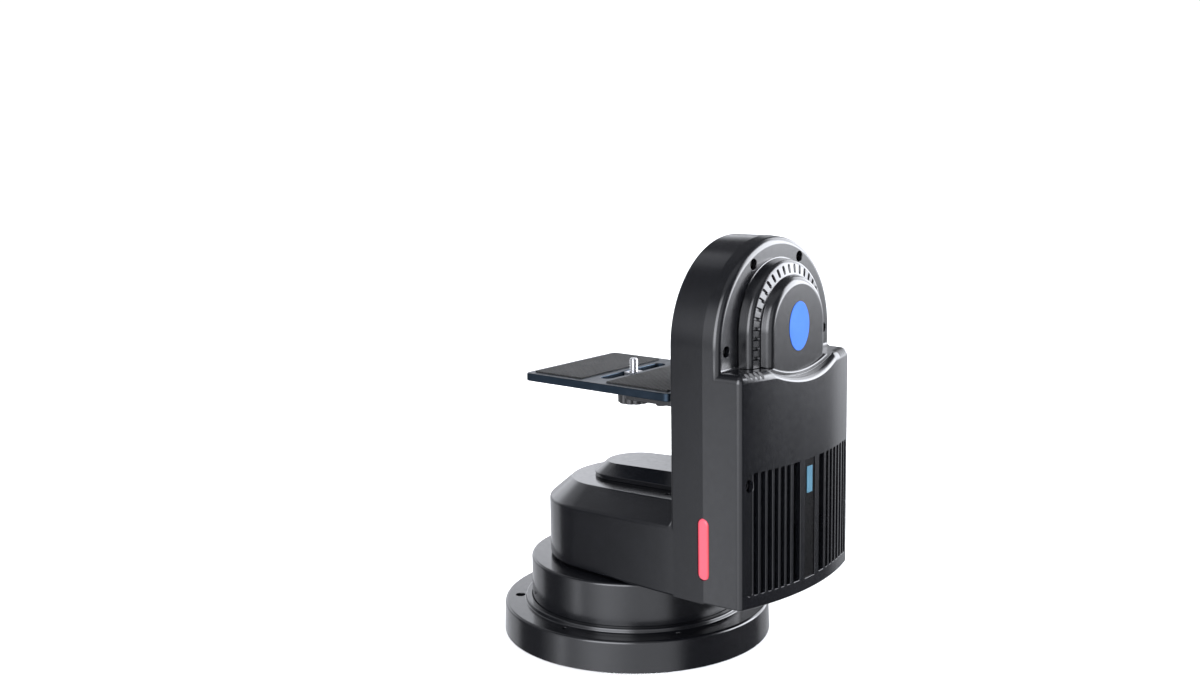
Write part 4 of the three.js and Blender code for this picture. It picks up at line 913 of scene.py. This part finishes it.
# ---------------------------------------------------------------------------------------------------------------------
# finishes of the inner parts that stay as they are
# ---------------------------------------------------------------------------------------------------------------------
BY_SLOT = {"steel": "steel", "screws": "screw", "aluminium": "aluminium", "brass": "brass", "motor_black": "motor", "board": "board",
           "black_plastic": "plastic", "rubber": "rubber", "navy_anodised": "navy", "dark_plate": "dark_plate", "black_paint": "paint",
           "blue_badge": "badge", "light_blue_tag": "tag", "lamp_red": "lamp"}
for name, ob in NODES.items():
    ob.data.materials.clear()
    ob.data.materials.append(MAT[BY_SLOT[SLOT_OF[name]]])

# ---------------------------------------------------------------------------------------------------------------------
# stage and light
# ---------------------------------------------------------------------------------------------------------------------
def stage():
    me = bpy.data.meshes.new("floor")
    pts, faces = [], []
    n, R = 96, 9.0
    for r in (0.0001, 1.0, 3.0, R):
        pts += [(r * cos(2 * pi * i / n), r * sin(2 * pi * i / n), -0.0002) for i in range(n)]
    for k in range(3):
        for i in range(n):
            j = (i + 1) % n
            faces.append((k * n + i, k * n + j, (k + 1) * n + j, (k + 1) * n + i))
    faces.append(tuple(range(n)))
    me.from_pydata(pts, [], faces)
    ob = bpy.data.objects.new("floor", me)
    SCENE.collection.objects.link(ob)
    m, nt, b = new_material("pale_floor")
    b.inputs["Base Color"].default_value = (0.86, 0.86, 0.86, 1)
    b.inputs["Roughness"].default_value = 0.6
    b.inputs["Specular IOR Level"].default_value = 0.2
    me.materials.append(m)

    ob.visible_glossy = False

def studio():
    """Soft boxes round the head, as directions from it: azimuth from +X towards +Y and elevation, both in degrees."""
    w = bpy.data.worlds.new("studio")
    SCENE.world = w
    w.use_nodes = True
    nt = w.node_tree
    link = nt.links.new
    tc = nt.nodes.new("ShaderNodeTexCoord")
    sep = nt.nodes.new("ShaderNodeSeparateXYZ")
    link(tc.outputs["Generated"], sep.inputs["Vector"])
    def math_node(op, a, b=None, c=None):
        n = nt.nodes.new("ShaderNodeMath")
        n.operation = op
        for i, v in enumerate((a, b, c)):
            if v is None:
                continue
            if isinstance(v, (int, float)):
                n.inputs[i].default_value = v
            else:
                link(v, n.inputs[i])
        return n.outputs[0]
    az = math_node("ARCTAN2", sep.outputs["Y"], sep.outputs["X"])
    el = math_node("ARCSINE", sep.outputs["Z"])
    def window(v, centre, half, soft, wrap):
        d = math_node("SUBTRACT", v, rad(centre))
        if wrap:
            d = math_node("WRAP", d, pi, -pi)
        d = math_node("ABSOLUTE", d)
        m = nt.nodes.new("ShaderNodeMapRange")
        m.interpolation_type = "SMOOTHSTEP"
        m.inputs["From Min"].default_value = rad(half + soft)
        m.inputs["From Max"].default_value = rad(half - soft)
        link(d, m.inputs["Value"])
        return m.outputs["Result"]
    total = None
    for a0, a1, sa, e0, e1, se, power in SOFT_BOXES:
        box = math_node("MULTIPLY", window(az, (a0 + a1) / 2, (a1 - a0) / 2, sa, True), window(el, (e0 + e1) / 2, (e1 - e0) / 2, se, False))
        total = math_node("MULTIPLY_ADD", box, power, AMBIENT if total is None else total)
    lp = nt.nodes.new("ShaderNodeLightPath")
    mix = nt.nodes.new("ShaderNodeMix")
    mix.data_type = "FLOAT"
    link(lp.outputs["Is Camera Ray"], mix.inputs["Factor"])
    link(total, mix.inputs[2])
    mix.inputs[3].default_value = 1.06
    bg = nt.nodes["Background"]
    bg.inputs["Color"].default_value = (0.965, 0.985, 1.045, 1)
    link(mix.outputs[0], bg.inputs["Strength"])

AMBIENT = 0.12
SOFT_BOXES = (
    # azimuth from, to, softness, elevation from, to, softness, brightness
    (-190, 190, 1, 42, 120, 8, 0.08),       # ceiling
    (-126, -15, 7, -70, 30, 14, 1.1),       # broad front wall
    (-100, -20, 14, -70, 30, 14, 0.45),     # its brighter part
    (-98, -68, 16, -70, 24, 16, 0.8),       # its middle
    (-137, -114, 7, -70, -11, 4, 0.5),      # its lower left corner
    (-123, -114, 3, -70, -11, 4, 0.75),
    (-131, -106, 6, 3, 34, 8, 0.75),        # pale patch above it
    (-96, -58, 3.5, -6, 44, 6, 7.0),        # front soft box
    (-130, 10, 15, 50, 88, 8, 0.5),         # ceiling in front
    (175, 232, 8, 12, 42, 8, 0.3),          # pale patch on the left
    (152, 180, 6, 19, 54, 6, 0.75),         # pale patch behind, high up
    (78, 127, 4, -70, 17, 3, 0.55),         # pale wall behind
    (127, 187, 4, -70, 25, 4, 0.82),
    (124, 130, 4, 11, 18, 3, 1.25),          # its bright part on the left
    (130, 174, 4, 4, 23, 4, 1.25),
    (28, 96, 12, -10, 46, 8, 1.6),          # glow round the key light
    (28, 68, 6, -4.2, 41, 5, 13.0),         # key light, behind on the right
    (68, 106, 7, -3, 41, 5, 3.6),           # its dimmer end
)

def area(name, at, target, sx, sy, power, glossy=True):
    L = bpy.data.lights.new(name, "AREA")
    L.shape, L.size, L.size_y, L.energy = "RECTANGLE", sx, sy, power
    ob = bpy.data.objects.new(name, L)
    SCENE.collection.objects.link(ob)
    ob.location = at
    ob.rotation_mode = "QUATERNION"
    ob.rotation_quaternion = (Vector(target) - Vector(at)).to_track_quat("-Z", "Y")
    ob.visible_camera = False
    ob.visible_glossy = glossy
    return ob

stage()
studio()
area("overhead", (0.0, 0.0, 4.0), (0, 0, 0), 8.0, 8.0, 330, glossy=False)

SCENE.view_settings.view_transform = "Standard"
SCENE.view_settings.look = "None"
